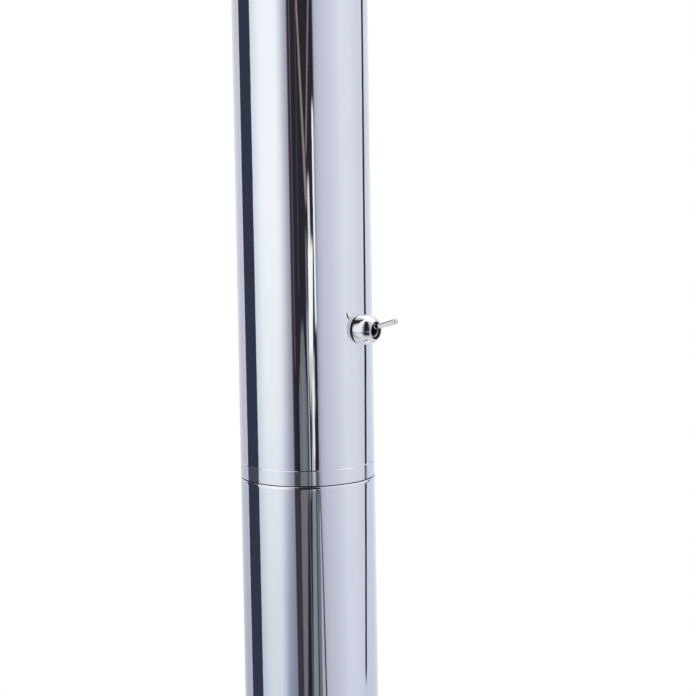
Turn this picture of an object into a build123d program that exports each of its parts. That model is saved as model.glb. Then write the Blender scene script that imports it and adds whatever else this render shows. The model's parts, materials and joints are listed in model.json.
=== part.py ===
from build123d import *
import os
from math import cos, radians, sin, sqrt, tan

# A free-standing flag pole stand with a light at its top. A weighted round base carries a two-piece
# chromed post. The pole drops into a socket inside the upper post, and a ring of lamps round the
# socket shines up the flag. Cells in the lower post feed it through a toggle switch in the post wall.
# Millimetres, +Z up. The origin is the centre of the base at floor level, and the switch faces -Y.

os.makedirs("parts", exist_ok=True)

# ---- Base -------------------------------------------------------------------------------------
base_radius = 150.0  # outer edge of the cover
base_edge_height = 14.0  # top of the rolled edge
dish_radius = 68.0  # where the low cone turns up to the hub
dish_height = 22.0
hub_radius = 46.0
hub_height = 38.0  # the post stands on this level
cover_wall = 1.2
cover_rim_gap = 1.5  # cover edge to floor
cover_gap = 0.3  # cover to the weight under it
pad_radius = 10.0
pad_height = 3.0
pad_pocket = 1.0  # how far a pad sits up in the weight
pad_count = 6
pad_circle = 125.0  # radius of the circle of pads

# ---- Bolt that holds the base and the lower post together -------------------------------------
bolt_radius = 6.0
bolt_head_across = 19.0
bolt_head_height = 7.5
bolt_head_low = 5.0  # head to floor
bolt_length = 45.0
bolt_hole_gap = 0.6
spring_washer_radius = 10.5
flat_washer_radius = 16.0
washer_height = 2.5
dowel_radius = 2.5
dowel_place = 17.0  # distance from the post axis
dowel_length = 18.0

# ---- Post -------------------------------------------------------------------------------------
post_radius = 30.0
post_wall = 1.5
foot_height = 25.0  # plug in the bottom of the lower tube
trim_height = 8.0
trim_width = 8.0
ring_height = 7.2  # flush ring between the two tubes
sleeve_wall = 2.5
sleeve_reach = 60.0  # length of coupling sleeve that slides into the lower tube
sleeve_hold = 30.0  # length of it above the ring
slide_fit = 0.05  # radial clearance of a sliding or turning fit
lower_spare = 14.0  # free height between the cells and the coupling

# ---- Cells and their contacts -----------------------------------------------------------------
cell_radius = 16.6
cell_body = 60.0
nub_height = 1.5
nub_radius = 5.2
cell_count = 4
cell_gap = 0.6  # cell to cradle wall
cradle_wall = 1.5
cradle_floor = 3.0
cradle_ring_height = 4.0
loose_gap = 0.3
strip_thick = 0.5
strip_wide = 5.0
leaf_rise = 6.5
cap_height = 5.0
carrier_height = 6.0
contact_ring_inner = 10.0
contact_ring_outer = 14.0
contact_gap = 0.1

# ---- Toggle switch ----------------------------------------------------------------------------
switch_rise = 68.0  # switch axis above the top of the lower tube
bushing_radius = 3.175
bushing_bore = 2.4
pin_radius = 0.4  # cross pin that the lever turns on, with its ends in the bushing
bushing_reach = 7.6  # end of the bushing beyond the post surface
seal_radius = 6.5  # rubber saddle between the flat dome nut and the round post
seal_reach = 0.2
dome_radius = 6.65
dome_reach = 8.4  # rim of the dome nut beyond the post surface
dome_centre = 3.2  # centre of the ball shape beyond the post surface
mouth_radius = 3.95
lever_tilt = 17.0  # degrees above the switch axis, switched on
pivot_depth = 4.4  # pivot inside the end of the bushing
lever_length = 16.8  # pivot to tip
lever_root = 1.0
lever_tip = 1.4
tail_length = 4.5
tail_radius = 0.7
switch_wide = 7.9
switch_tall = 12.7
switch_deep = 9.8
frame_thick = 0.8
nut_across = 8.0
nut_height = 1.8
star_radius = 5.0
star_height = 0.4
lug_pitch = 4.7
lug_length = 4.0
rocker_pivot = 6.0  # depth of the rocker pivot inside the switch body

# ---- Pole socket ------------------------------------------------------------------------------
socket_radius = 16.2  # bore for a 32 mm pole
socket_wall = 1.8
seat_step = 0.6  # shoulder that holds the rubber rest down
socket_depth = 200.0
socket_floor_height = 2.0
rest_height = 4.0
switch_clear = 30.0  # socket floor above the switch axis
spacer_height = 8.0
lower_spacer_rise = 10.0
upper_spacer_drop = 56.0
mouth_ring_height = 4.0
mouth_ring_wide = 2.4

# ---- Light and collar -------------------------------------------------------------------------
lens_thick = 3.0
lens_skirt = 1.6
light_cavity = 7.0
board_thick = 1.6
chip_count = 12
chip_size = 3.0
chip_height = 1.0
carrier_flange = 3.0
carrier_hub_above = 5.0
carrier_hub_below = 8.0
collar_radius = 34.0
collar_skirt = 32.0
collar_lip = 2.0
collar_screw_radius = 2.0
collar_screw_count = 3
collar_screw_rise = 9.0
wire_radius = 0.8
wire_hole_gap = 0.5

# ---- Clamp screw ------------------------------------------------------------------------------
stud_radius = 4.0
stud_hole_gap = 0.6
clamp_drop = 16.0  # clamp axis below the top of the upper tube
boss_radius = 8.0
pad_tip_radius = 3.8
pad_tip_length = 3.5
pad_stem_radius = 1.5
pad_stem_length = 4.0
clamp_travel = 4.0
knob_radius = 11.0
knob_length = 14.0
knob_neck_radius = 6.5
knob_neck_length = 3.0
knob_groove_count = 24

# ---- Levels and radii worked out from the sizes above -----------------------------------------
bore_radius = post_radius - post_wall
foot_top = hub_height + foot_height
cells_low = foot_top + cradle_floor + leaf_rise
cell_pitch = cell_body + nub_height
cells_top = cells_low + cell_count * cell_pitch
cradle_top = cells_top + 1.0
cap_top = cradle_top + cap_height
contact_top = cap_top + strip_thick
seam_height = cap_top + lower_spare + sleeve_reach
ring_top = seam_height + ring_height
sleeve_low = seam_height - sleeve_reach
sleeve_radius = bore_radius - slide_fit
sleeve_bore = sleeve_radius - sleeve_wall
cradle_bore = cell_radius + cell_gap
cradle_radius = cradle_bore + cradle_wall
switch_height = seam_height + switch_rise
socket_outer = socket_radius + socket_wall
socket_low = switch_height + switch_clear
pole_seat = socket_low + socket_floor_height + rest_height
mouth_height = pole_seat + socket_depth
lens_top = mouth_height - mouth_ring_height
board_top = lens_top - lens_thick - light_cavity
hub_top = board_top - board_thick
tube_top = hub_top - carrier_hub_above
collar_low = tube_top - collar_skirt
collar_top = lens_top + collar_lip
clamp_height = tube_top - clamp_drop
stack_radius = collar_radius - 2.8  # inside of the collar above the tube
wire_place = (socket_outer + bore_radius) / 2
wire_hole = wire_radius + wire_hole_gap


def base_outline(inset, low):
    """Draw the base's half section, drawn in from the outer skin by inset, down to level low."""
    rim = base_radius - inset
    skin = FilletPolyline(
        (rim, low),
        (rim, base_edge_height - inset),
        (dish_radius, dish_height - inset),
        (hub_radius - inset / 2, hub_height - inset),
        (0, hub_height - inset),
        radius=(7.0 - inset, 60.0, 6.0 - inset),
    )
    Polyline(skin @ 1, (0, low), skin @ 0)


# ---- Base pieces ------------------------------------------------------------------------------
with BuildPart() as base_cover:
    with BuildSketch(Plane.XZ):
        with BuildLine():
            base_outline(0.0, cover_rim_gap)
        make_face()
        with BuildLine():
            base_outline(cover_wall, cover_rim_gap)
        make_face(mode=Mode.SUBTRACT)
    revolve(axis=Axis.Z)
    with Locations((0, 0, hub_height)):
        Hole(bolt_radius + bolt_hole_gap, depth=3 * cover_wall)
    with Locations((dowel_place, 0, hub_height)):
        Hole(dowel_radius, depth=3 * cover_wall)
base_cover.part.label = "base_cover"
export_step(base_cover.part, "parts/base_cover.step")

weight_low = pad_height - pad_pocket
bolt_seat = bolt_head_low + bolt_head_height + 2 * washer_height
with BuildPart() as base_weight:
    with BuildSketch(Plane.XZ):
        with BuildLine():
            base_outline(cover_wall + cover_gap, weight_low)
        make_face()
    revolve(axis=Axis.Z)
    with Locations((0, 0, hub_height)):
        Hole(bolt_radius + bolt_hole_gap)
    with Locations((dowel_place, 0, hub_height)):
        Hole(dowel_radius, depth=hub_height - bolt_seat)
    with BuildSketch(Plane.XY):
        Circle(flat_washer_radius + 2.0)
    extrude(amount=bolt_seat, mode=Mode.SUBTRACT)
    with BuildSketch(Plane.XY):
        with PolarLocations(pad_circle, pad_count):
            Circle(pad_radius)
    extrude(amount=pad_height, mode=Mode.SUBTRACT)
base_weight.part.label = "base_weight"
export_step(base_weight.part, "parts/base_weight.step")

with BuildPart() as foot_pads:
    with BuildSketch(Plane.XY):
        with PolarLocations(pad_circle, pad_count):
            Circle(pad_radius)
    extrude(amount=pad_height)
    fillet(foot_pads.edges().group_by(Axis.Z)[0], radius=0.8)
foot_pads.part.label = "foot_pads"
export_step(foot_pads.part, "parts/foot_pads.step")

bolt_head_top = bolt_head_low + bolt_head_height
with BuildPart() as base_bolt:
    with BuildSketch(Plane.XY.offset(bolt_head_low)):
        RegularPolygon(bolt_head_across / 2, 6, major_radius=False)
    extrude(amount=bolt_head_height)
    with BuildSketch(Plane.XY.offset(bolt_head_top)):
        Circle(bolt_radius)
    extrude(amount=bolt_length)
    chamfer(base_bolt.faces().sort_by(Axis.Z)[-1].edges(), length=1.0)
base_bolt.part.label = "base_bolt"
export_step(base_bolt.part, "parts/base_bolt.step")

with BuildPart() as base_spring_washer:
    with BuildSketch(Plane.XY.offset(bolt_head_top)):
        Circle(spring_washer_radius)
        Circle(bolt_radius + 0.2, mode=Mode.SUBTRACT)
        with Locations((spring_washer_radius - 2.0, 0)):
            Rectangle(6.0, 0.8, mode=Mode.SUBTRACT)
    extrude(amount=washer_height)
base_spring_washer.part.label = "base_spring_washer"
export_step(base_spring_washer.part, "parts/base_spring_washer.step")

with BuildPart() as base_flat_washer:
    with BuildSketch(Plane.XY.offset(bolt_head_top + washer_height)):
        Circle(flat_washer_radius)
        Circle(bolt_radius + 0.4, mode=Mode.SUBTRACT)
    extrude(amount=washer_height)
base_flat_washer.part.label = "base_flat_washer"
export_step(base_flat_washer.part, "parts/base_flat_washer.step")

with BuildPart() as post_foot:
    with BuildSketch(Plane.XY.offset(hub_height)):
        Circle(bore_radius)
    extrude(amount=foot_height)
    with Locations((0, 0, foot_top)):
        Hole(bolt_radius)
    with BuildSketch(Plane.XY.offset(hub_height)):
        with Locations((dowel_place, 0)):
            Circle(dowel_radius)
    extrude(amount=dowel_length / 2 + 1.0, mode=Mode.SUBTRACT)
    chamfer(post_foot.faces().sort_by(Axis.Z)[-1].edges().sort_by(SortBy.RADIUS)[-1], length=1.0)
post_foot.part.label = "post_foot"
export_step(post_foot.part, "parts/post_foot.step")

with BuildPart() as foot_dowel:
    with BuildSketch(Plane.XY.offset(hub_height - dowel_length / 2)):
        with Locations((dowel_place, 0)):
            Circle(dowel_radius)
    extrude(amount=dowel_length)
    chamfer(foot_dowel.edges().filter_by(GeomType.CIRCLE), length=0.4)
foot_dowel.part.label = "foot_dowel"
export_step(foot_dowel.part, "parts/foot_dowel.step")

with BuildPart() as base_trim_ring:
    with BuildSketch(Plane.XZ):
        with BuildLine():
            trim_outer = post_radius + trim_width
            Line((post_radius, hub_height), (trim_outer, hub_height))
            Line((trim_outer, hub_height), (trim_outer, hub_height + 2.0))
            RadiusArc((trim_outer, hub_height + 2.0), (post_radius + 1.2, hub_height + trim_height), 9.0)
            Line((post_radius + 1.2, hub_height + trim_height), (post_radius, hub_height + trim_height))
            Line((post_radius, hub_height + trim_height), (post_radius, hub_height))
        make_face()
    revolve(axis=Axis.Z)
base_trim_ring.part.label = "base_trim_ring"
export_step(base_trim_ring.part, "parts/base_trim_ring.step")

# ---- Lower post and its cells -----------------------------------------------------------------
with BuildPart() as lower_tube:
    with BuildSketch(Plane.XY.offset(hub_height)):
        Circle(post_radius)
        Circle(bore_radius, mode=Mode.SUBTRACT)
    extrude(amount=seam_height - hub_height)
    chamfer(lower_tube.faces().sort_by(Axis.Z)[-1].edges(), length=0.25)
lower_tube.part.label = "lower_tube"
export_step(lower_tube.part, "parts/lower_tube.step")

strip_place = cradle_radius + strip_thick / 2
strip_slot = strip_wide + 1.0
with BuildPart() as battery_cradle:
    with BuildSketch(Plane.XY.offset(foot_top)):
        Circle(cradle_radius)
    extrude(amount=cradle_top - foot_top)
    ring_gap = (cradle_top - foot_top - cradle_ring_height) / 3
    for ring in range(4):
        with BuildSketch(Plane.XY.offset(foot_top + ring * ring_gap)):
            Circle(bore_radius - loose_gap)
        extrude(amount=cradle_ring_height)
    with BuildSketch(Plane.XY.offset(foot_top + cradle_floor)):
        Circle(cradle_bore)
    extrude(amount=cradle_top - foot_top, mode=Mode.SUBTRACT)
    with BuildSketch(Plane.XY.offset(foot_top)):
        with Locations((cradle_radius + strip_wide, 0)):
            Rectangle(2 * strip_wide, strip_slot)
    extrude(amount=cradle_top - foot_top, mode=Mode.SUBTRACT)
    with BuildSketch(Plane.XY.offset(foot_top + cradle_floor)):
        with Locations((cradle_radius - strip_wide / 2, 0)):
            Rectangle(strip_wide, strip_slot)
    extrude(amount=1.5, mode=Mode.SUBTRACT)
battery_cradle.part.label = "battery_cradle"
export_step(battery_cradle.part, "parts/battery_cradle.step")

leaf_level = foot_top + cradle_floor + strip_thick / 2
leaf_end = cradle_bore - 4.0
with BuildPart() as bottom_contact:
    with BuildSketch(Plane.XZ):
        with BuildLine():
            FilletPolyline(
                (leaf_end, leaf_level),
                (-leaf_end, leaf_level),
                (-leaf_end + 3.0, leaf_level + 3.0),
                (2.0, cells_low - strip_thick / 2),
                (5.0, cells_low - strip_thick / 2),
                radius=(1.0, 1.0, 1.0),
            )
        trace(line_width=strip_thick)
    extrude(amount=strip_wide / 2, both=True)
bottom_contact.part.label = "bottom_contact"
export_step(bottom_contact.part, "parts/bottom_contact.step")

with BuildPart() as return_strip:
    with BuildSketch(Plane.XZ):
        with BuildLine():
            FilletPolyline(
                (leaf_end, leaf_level),
                (strip_place, leaf_level),
                (strip_place, cap_top + strip_thick / 2),
                (contact_ring_outer, cap_top + strip_thick / 2),
                radius=0.5,
            )
        trace(line_width=strip_thick)
    extrude(amount=strip_wide / 2, both=True)
return_strip.part.label = "return_strip"
export_step(return_strip.part, "parts/return_strip.step")

for cell in range(cell_count):
    cell_low = cells_low + cell * cell_pitch
    with BuildPart() as battery_cell:
        with BuildSketch(Plane.XY.offset(cell_low)):
            Circle(cell_radius)
        extrude(amount=cell_body)
        chamfer(battery_cell.edges().filter_by(GeomType.CIRCLE), length=0.8)
        with BuildSketch(Plane.XY.offset(cell_low + cell_body)):
            Circle(nub_radius)
        extrude(amount=nub_height)
    battery_cell.part.label = f"battery_cell_{cell + 1}"
    export_step(battery_cell.part, f"parts/battery_cell_{cell + 1}.step")

with BuildPart() as cradle_cap:
    with BuildSketch(Plane.XY.offset(cradle_top)):
        Circle(bore_radius - loose_gap)
        Circle(3.5, mode=Mode.SUBTRACT)
        with Locations((cradle_radius + strip_wide - 1.0, 0)):
            Rectangle(2 * strip_wide, strip_slot, mode=Mode.SUBTRACT)
    extrude(amount=cap_height)
cradle_cap.part.label = "cradle_cap"
export_step(cradle_cap.part, "parts/cradle_cap.step")

with BuildPart() as centre_contact:
    with BuildSketch(Plane.XY.offset(cells_top)):
        Circle(3.5)
    extrude(amount=cap_top - cells_top)
    with BuildSketch(Plane.XY.offset(cap_top)):
        Circle(6.0)
    extrude(amount=strip_thick)
centre_contact.part.label = "centre_contact"
export_step(centre_contact.part, "parts/centre_contact.step")

with BuildPart() as ring_contact:
    with BuildSketch(Plane.XY.offset(cap_top)):
        Circle(contact_ring_outer)
        Circle(contact_ring_inner, mode=Mode.SUBTRACT)
    extrude(amount=strip_thick)
ring_contact.part.label = "ring_contact"
export_step(ring_contact.part, "parts/ring_contact.step")

# ---- Upper post -------------------------------------------------------------------------------
with BuildPart() as coupling_sleeve:
    with BuildSketch(Plane.XY.offset(sleeve_low)):
        Circle(sleeve_radius)
        Circle(sleeve_bore, mode=Mode.SUBTRACT)
    extrude(amount=sleeve_reach + ring_height + sleeve_hold)
    chamfer(coupling_sleeve.faces().sort_by(Axis.Z)[0].edges().sort_by(SortBy.RADIUS)[-1], length=1.0)
coupling_sleeve.part.label = "coupling_sleeve"
export_step(coupling_sleeve.part, "parts/coupling_sleeve.step")

with BuildPart() as joint_ring:
    with BuildSketch(Plane.XY.offset(seam_height)):
        Circle(post_radius)
        Circle(sleeve_radius, mode=Mode.SUBTRACT)
    extrude(amount=ring_height)
    chamfer(joint_ring.edges().filter_by(GeomType.CIRCLE).group_by(SortBy.RADIUS)[-1], length=0.2)
joint_ring.part.label = "joint_ring"
export_step(joint_ring.part, "parts/joint_ring.step")

switch_plane = Plane(origin=(0, 0, switch_height), x_dir=(1, 0, 0), z_dir=(0, -1, 0))
switch_section = Plane(origin=(0, 0, switch_height), x_dir=(0, -1, 0), z_dir=(-1, 0, 0))
switch_axis = Axis((0, 0, switch_height), (0, -1, 0))
clamp_plane = Plane(origin=(0, 0, clamp_height), x_dir=(-1, 0, 0), z_dir=(0, 1, 0))
clamp_section = Plane(origin=(0, 0, clamp_height), x_dir=(0, 1, 0), z_dir=(1, 0, 0))
clamp_axis = Axis((0, 0, clamp_height), (0, 1, 0))

with BuildPart() as upper_tube:
    with BuildSketch(Plane.XY.offset(ring_top)):
        Circle(post_radius)
        Circle(bore_radius, mode=Mode.SUBTRACT)
    extrude(amount=tube_top - ring_top)
    chamfer(upper_tube.faces().sort_by(Axis.Z)[0].edges().sort_by(SortBy.RADIUS)[-1], length=0.15)
    with BuildSketch(switch_plane):
        Circle(bushing_radius + slide_fit)
    extrude(amount=2 * post_radius, mode=Mode.SUBTRACT)
    with BuildSketch(clamp_plane):
        Circle(stud_radius + stud_hole_gap)
    extrude(amount=2 * post_radius, mode=Mode.SUBTRACT)
upper_tube.part.label = "upper_tube"
export_step(upper_tube.part, "parts/upper_tube.step")

# The supply rivet and the return rivet stand either side of the post axis.
supply_place = -11.0
return_place = sleeve_bore - 5.5
carrier_top = sleeve_low + carrier_height
rivet_top = carrier_top + 1.5
with BuildPart() as contact_carrier:
    with BuildSketch(Plane.XY.offset(sleeve_low)):
        Circle(sleeve_bore)
        with Locations((supply_place, 0), (return_place, 0)):
            Circle(1.5, mode=Mode.SUBTRACT)
    extrude(amount=carrier_height)
contact_carrier.part.label = "contact_carrier"
export_step(contact_carrier.part, "parts/contact_carrier.step")

with BuildPart() as contact_rivets:
    with BuildSketch(Plane.XY.offset(sleeve_low)):
        with Locations((supply_place, 0), (return_place, 0)):
            Circle(1.5)
    extrude(amount=carrier_height)
    with BuildSketch(Plane.XY.offset(carrier_top)):
        with Locations((supply_place, 0), (return_place, 0)):
            Circle(2.4)
    extrude(amount=rivet_top - carrier_top)
contact_rivets.part.label = "contact_rivets"
export_step(contact_rivets.part, "parts/contact_rivets.step")

spring_level = sleeve_low - strip_thick / 2
spring_foot = contact_top + contact_gap + strip_thick / 2
ring_middle = (contact_ring_inner + contact_ring_outer) / 2
with BuildPart() as supply_spring:
    with BuildSketch(Plane.XZ):
        with BuildLine():
            FilletPolyline(
                (supply_place - 3.0, spring_level),
                (supply_place + 3.0, spring_level),
                (-1.5, spring_foot),
                (2.5, spring_foot),
                (4.5, spring_foot + 2.5),
                radius=(1.5, 1.5, 1.0),
            )
        trace(line_width=strip_thick)
    extrude(amount=strip_wide / 2, both=True)
supply_spring.part.label = "supply_spring"
export_step(supply_spring.part, "parts/supply_spring.step")

with BuildPart() as return_spring:
    with BuildSketch(Plane.XZ):
        with BuildLine():
            FilletPolyline(
                (return_place + 3.0, spring_level),
                (return_place - 2.5, spring_level),
                (ring_middle + 1.0, spring_foot),
                (ring_middle - 1.0, spring_foot),
                (ring_middle - 3.0, spring_foot + 2.5),
                radius=(0.8, 0.8, 0.8),
            )
        trace(line_width=strip_thick)
    extrude(amount=strip_wide / 2, both=True)
return_spring.part.label = "return_spring"
export_step(return_spring.part, "parts/return_spring.step")

# ---- Toggle switch ----------------------------------------------------------------------------
star_top = sqrt(bore_radius**2 - star_radius**2) - slide_fit
nut_top = star_top - star_height
frame_top = nut_top - nut_height
frame_low = frame_top - frame_thick
body_low = frame_low - switch_deep
bushing_end = post_radius + bushing_reach
pivot_place = bushing_end - pivot_depth
ball_radius = bushing_bore - slide_fit
with BuildPart() as switch_frame:
    with BuildSketch(switch_plane.offset(frame_low)):
        Rectangle(switch_wide, switch_tall)
        Circle(bushing_bore, mode=Mode.SUBTRACT)
    extrude(amount=frame_thick)
    with BuildSketch(switch_plane.offset(frame_top)):
        Circle(bushing_radius)
        Circle(bushing_bore, mode=Mode.SUBTRACT)
    extrude(amount=bushing_end - frame_top)
    chamfer(switch_frame.faces().sort_by(Axis.Y)[0].edges().sort_by(SortBy.RADIUS)[-1], length=0.25)
    chamfer(switch_frame.faces().sort_by(Axis.Y)[0].edges().sort_by(SortBy.RADIUS)[0], length=0.4)
    with BuildSketch(Plane(origin=(0, -pivot_place, switch_height), z_dir=(1, 0, 0))):
        Circle(pin_radius + slide_fit)
    extrude(amount=2 * bushing_radius, both=True, mode=Mode.SUBTRACT)
switch_frame.part.label = "switch_frame"
export_step(switch_frame.part, "parts/switch_frame.step")

rocker_place = frame_low - rocker_pivot
with BuildPart() as switch_body:
    with BuildSketch(switch_plane.offset(body_low)):
        Rectangle(switch_wide, switch_tall)
    extrude(amount=switch_deep)
    with BuildSketch(switch_plane.offset(body_low + 1.5)):
        Rectangle(switch_wide - 2.4, switch_tall - 2.0)
    extrude(amount=switch_deep, mode=Mode.SUBTRACT)
    with BuildSketch(switch_plane.offset(body_low)):
        with Locations((0, lug_pitch), (0, -lug_pitch)):
            Rectangle(2.0, 0.8)
    extrude(amount=3.0, mode=Mode.SUBTRACT)
    with BuildSketch(Plane(origin=(0, -rocker_place, switch_height), z_dir=(1, 0, 0))):
        Circle(0.6)
    extrude(amount=switch_wide, both=True, mode=Mode.SUBTRACT)
switch_body.part.label = "switch_body"
export_step(switch_body.part, "parts/switch_body.step")

with BuildPart() as switch_lugs:
    with BuildSketch(switch_plane.offset(body_low - lug_length)):
        with Locations((0, lug_pitch), (0, -lug_pitch)):
            Rectangle(2.0, 0.8)
    extrude(amount=lug_length + 2.2)
switch_lugs.part.label = "switch_lugs"
export_step(switch_lugs.part, "parts/switch_lugs.step")

with BuildPart() as switch_nut:
    with BuildSketch(switch_plane.offset(frame_top)):
        RegularPolygon(nut_across / 2, 6, major_radius=False)
        Circle(bushing_radius, mode=Mode.SUBTRACT)
    extrude(amount=nut_height)
switch_nut.part.label = "switch_nut"
export_step(switch_nut.part, "parts/switch_nut.step")

with BuildPart() as switch_star_washer:
    with BuildSketch(switch_plane.offset(nut_top)):
        Circle(star_radius)
        with PolarLocations(star_radius, 12):
            Circle(0.5, mode=Mode.SUBTRACT)
        Circle(bushing_radius, mode=Mode.SUBTRACT)
    extrude(amount=star_height)
switch_star_washer.part.label = "switch_star_washer"
export_step(switch_star_washer.part, "parts/switch_star_washer.step")

with BuildPart() as switch_seal:
    with BuildSketch(switch_plane.offset(post_radius - 2.0)):
        Circle(seal_radius)
        Circle(bushing_radius, mode=Mode.SUBTRACT)
    extrude(amount=seal_reach + 2.0)
    with Locations((0, 0, switch_height)):
        Cylinder(post_radius, 4 * seal_radius, mode=Mode.SUBTRACT)
switch_seal.part.label = "switch_seal"
export_step(switch_seal.part, "parts/switch_seal.step")

dome_base = post_radius + seal_reach
dome_middle = post_radius + dome_centre
dome_rim = post_radius + dome_reach
dome_rim_radius = sqrt(dome_radius**2 - (dome_rim - dome_middle) ** 2)
mouth_bore = min(mouth_radius, dome_rim_radius - 0.15)
with BuildPart() as dome_nut:
    with BuildSketch(switch_section):
        with BuildLine():
            Polyline((dome_base, bushing_radius), (dome_base, dome_radius), (dome_middle, dome_radius))
            RadiusArc((dome_middle, dome_radius), (dome_rim, dome_rim_radius), dome_radius)
            Polyline(
                (dome_rim, dome_rim_radius),
                (dome_rim, mouth_bore),
                (dome_base + 4.0, mouth_bore),
                (dome_base + 4.0, bushing_radius),
                (dome_base, bushing_radius),
            )
        make_face()
    revolve(axis=switch_axis)
dome_nut.part.label = "dome_nut"
export_step(dome_nut.part, "parts/dome_nut.step")

lever_way = (0, -cos(radians(lever_tilt)), sin(radians(lever_tilt)))
lever_plane = Plane(origin=(0, -pivot_place, switch_height), x_dir=lever_way, z_dir=(-1, 0, 0))
lever_axis = Axis((0, -pivot_place, switch_height), lever_way)
with BuildPart() as switch_lever:
    with BuildSketch(lever_plane):
        with BuildLine():
            ball_back = -sqrt(ball_radius**2 - tail_radius**2)
            ball_front = sqrt(ball_radius**2 - lever_root**2)
            Polyline((-tail_length, 0), (-tail_length, tail_radius), (ball_back, tail_radius))
            ThreePointArc((ball_back, tail_radius), (0, ball_radius), (ball_front, lever_root))
            FilletPolyline(
                (ball_front, lever_root),
                (lever_length - 1.6, lever_tip),
                (lever_length, lever_tip),
                (lever_length, 0),
                radius=(0.5, 0.6),
            )
            Line((lever_length, 0), (-tail_length, 0))
        make_face()
    revolve(axis=lever_axis)
    with BuildSketch(Plane(origin=(0, -pivot_place, switch_height), z_dir=(1, 0, 0))):
        Circle(pin_radius)
    extrude(amount=bushing_radius - 0.1, both=True)
switch_lever.part.label = "switch_lever"
export_step(switch_lever.part, "parts/switch_lever.step")

# The rocker leans the other way from the lever, by the share that keeps their ends together.
tail_drop = tail_length * sin(radians(lever_tilt))
tail_end = pivot_place - tail_length * cos(radians(lever_tilt))
rocker_gap = 0.3
rocker_arm = tail_end - rocker_gap - rocker_place
rocker_tilt = tail_drop / rocker_arm
rocker_way = (0, -cos(rocker_tilt), -sin(rocker_tilt))
rocker_plane = Plane(origin=(0, -rocker_place, switch_height), x_dir=rocker_way, z_dir=(-1, 0, 0))
with BuildPart() as switch_rocker:
    with BuildSketch(Plane(origin=(0, -rocker_place, switch_height), z_dir=rocker_way)):
        Circle(tail_radius)
    extrude(amount=rocker_arm)
    with BuildSketch(rocker_plane):
        Rectangle(1.4, 7.0)
    extrude(amount=1.8, both=True)
    with BuildSketch(Plane(origin=(0, -rocker_place, switch_height), z_dir=(1, 0, 0))):
        Circle(0.6 - slide_fit)
    extrude(amount=switch_wide / 2, both=True)
switch_rocker.part.label = "switch_rocker"
export_step(switch_rocker.part, "parts/switch_rocker.step")

# ---- Pole socket ------------------------------------------------------------------------------
with BuildPart() as socket_sleeve:
    with BuildSketch(Plane.XY.offset(socket_low)):
        Circle(socket_outer)
        Circle(socket_radius, mode=Mode.SUBTRACT)
    extrude(amount=mouth_height - socket_low)
    with BuildSketch(Plane.XY.offset(socket_low)):
        Circle(socket_radius + seat_step)
    extrude(amount=pole_seat - socket_low, mode=Mode.SUBTRACT)
    chamfer(socket_sleeve.faces().sort_by(Axis.Z)[-1].edges().sort_by(SortBy.RADIUS)[0], length=0.8)
    with BuildSketch(clamp_plane):
        Circle(stud_radius + slide_fit)
    extrude(amount=2 * socket_outer, mode=Mode.SUBTRACT)
socket_sleeve.part.label = "socket_sleeve"
export_step(socket_sleeve.part, "parts/socket_sleeve.step")

with BuildPart() as socket_floor:
    with BuildSketch(Plane.XY.offset(socket_low)):
        Circle(socket_radius + seat_step)
    extrude(amount=socket_floor_height)
socket_floor.part.label = "socket_floor"
export_step(socket_floor.part, "parts/socket_floor.step")

with BuildPart() as pole_rest:
    with BuildSketch(Plane.XY.offset(socket_low + socket_floor_height)):
        Circle(socket_radius + seat_step)
    extrude(amount=rest_height)
pole_rest.part.label = "pole_rest"
export_step(pole_rest.part, "parts/pole_rest.step")

lamp_spot = (wire_place * cos(radians(-45)), wire_place * sin(radians(-45)))
return_spot = (wire_place, 0)
with BuildPart() as lower_spacer:
    with BuildSketch(Plane.XY.offset(socket_low + lower_spacer_rise)):
        Circle(bore_radius)
        Circle(socket_outer, mode=Mode.SUBTRACT)
        with Locations(lamp_spot, return_spot):
            Circle(wire_hole, mode=Mode.SUBTRACT)
    extrude(amount=spacer_height)
lower_spacer.part.label = "lower_spacer"
export_step(lower_spacer.part, "parts/lower_spacer.step")

with BuildPart() as upper_spacer:
    with BuildSketch(Plane.XY.offset(tube_top - upper_spacer_drop)):
        Circle(bore_radius)
        Circle(socket_outer, mode=Mode.SUBTRACT)
        with Locations(lamp_spot, return_spot):
            Circle(wire_hole, mode=Mode.SUBTRACT)
    extrude(amount=spacer_height)
upper_spacer.part.label = "upper_spacer"
export_step(upper_spacer.part, "parts/upper_spacer.step")

with BuildPart() as clamp_boss:
    with BuildSketch(clamp_plane):
        Circle(boss_radius)
    extrude(amount=sqrt(bore_radius**2 - boss_radius**2) - loose_gap)
    with Locations((0, 0, clamp_height)):
        Cylinder(socket_outer, 4 * boss_radius, mode=Mode.SUBTRACT)
    with BuildSketch(clamp_plane):
        Circle(stud_radius + slide_fit)
    extrude(amount=2 * post_radius, mode=Mode.SUBTRACT)
clamp_boss.part.label = "clamp_boss"
export_step(clamp_boss.part, "parts/clamp_boss.step")

with BuildPart() as mouth_ring:
    with BuildSketch(Plane.XY.offset(lens_top)):
        Circle(socket_outer + mouth_ring_wide)
        Circle(socket_outer, mode=Mode.SUBTRACT)
    extrude(amount=mouth_ring_height)
    fillet(mouth_ring.faces().sort_by(Axis.Z)[-1].edges().sort_by(SortBy.RADIUS)[-1], radius=1.5)
mouth_ring.part.label = "mouth_ring"
export_step(mouth_ring.part, "parts/mouth_ring.step")

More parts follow.
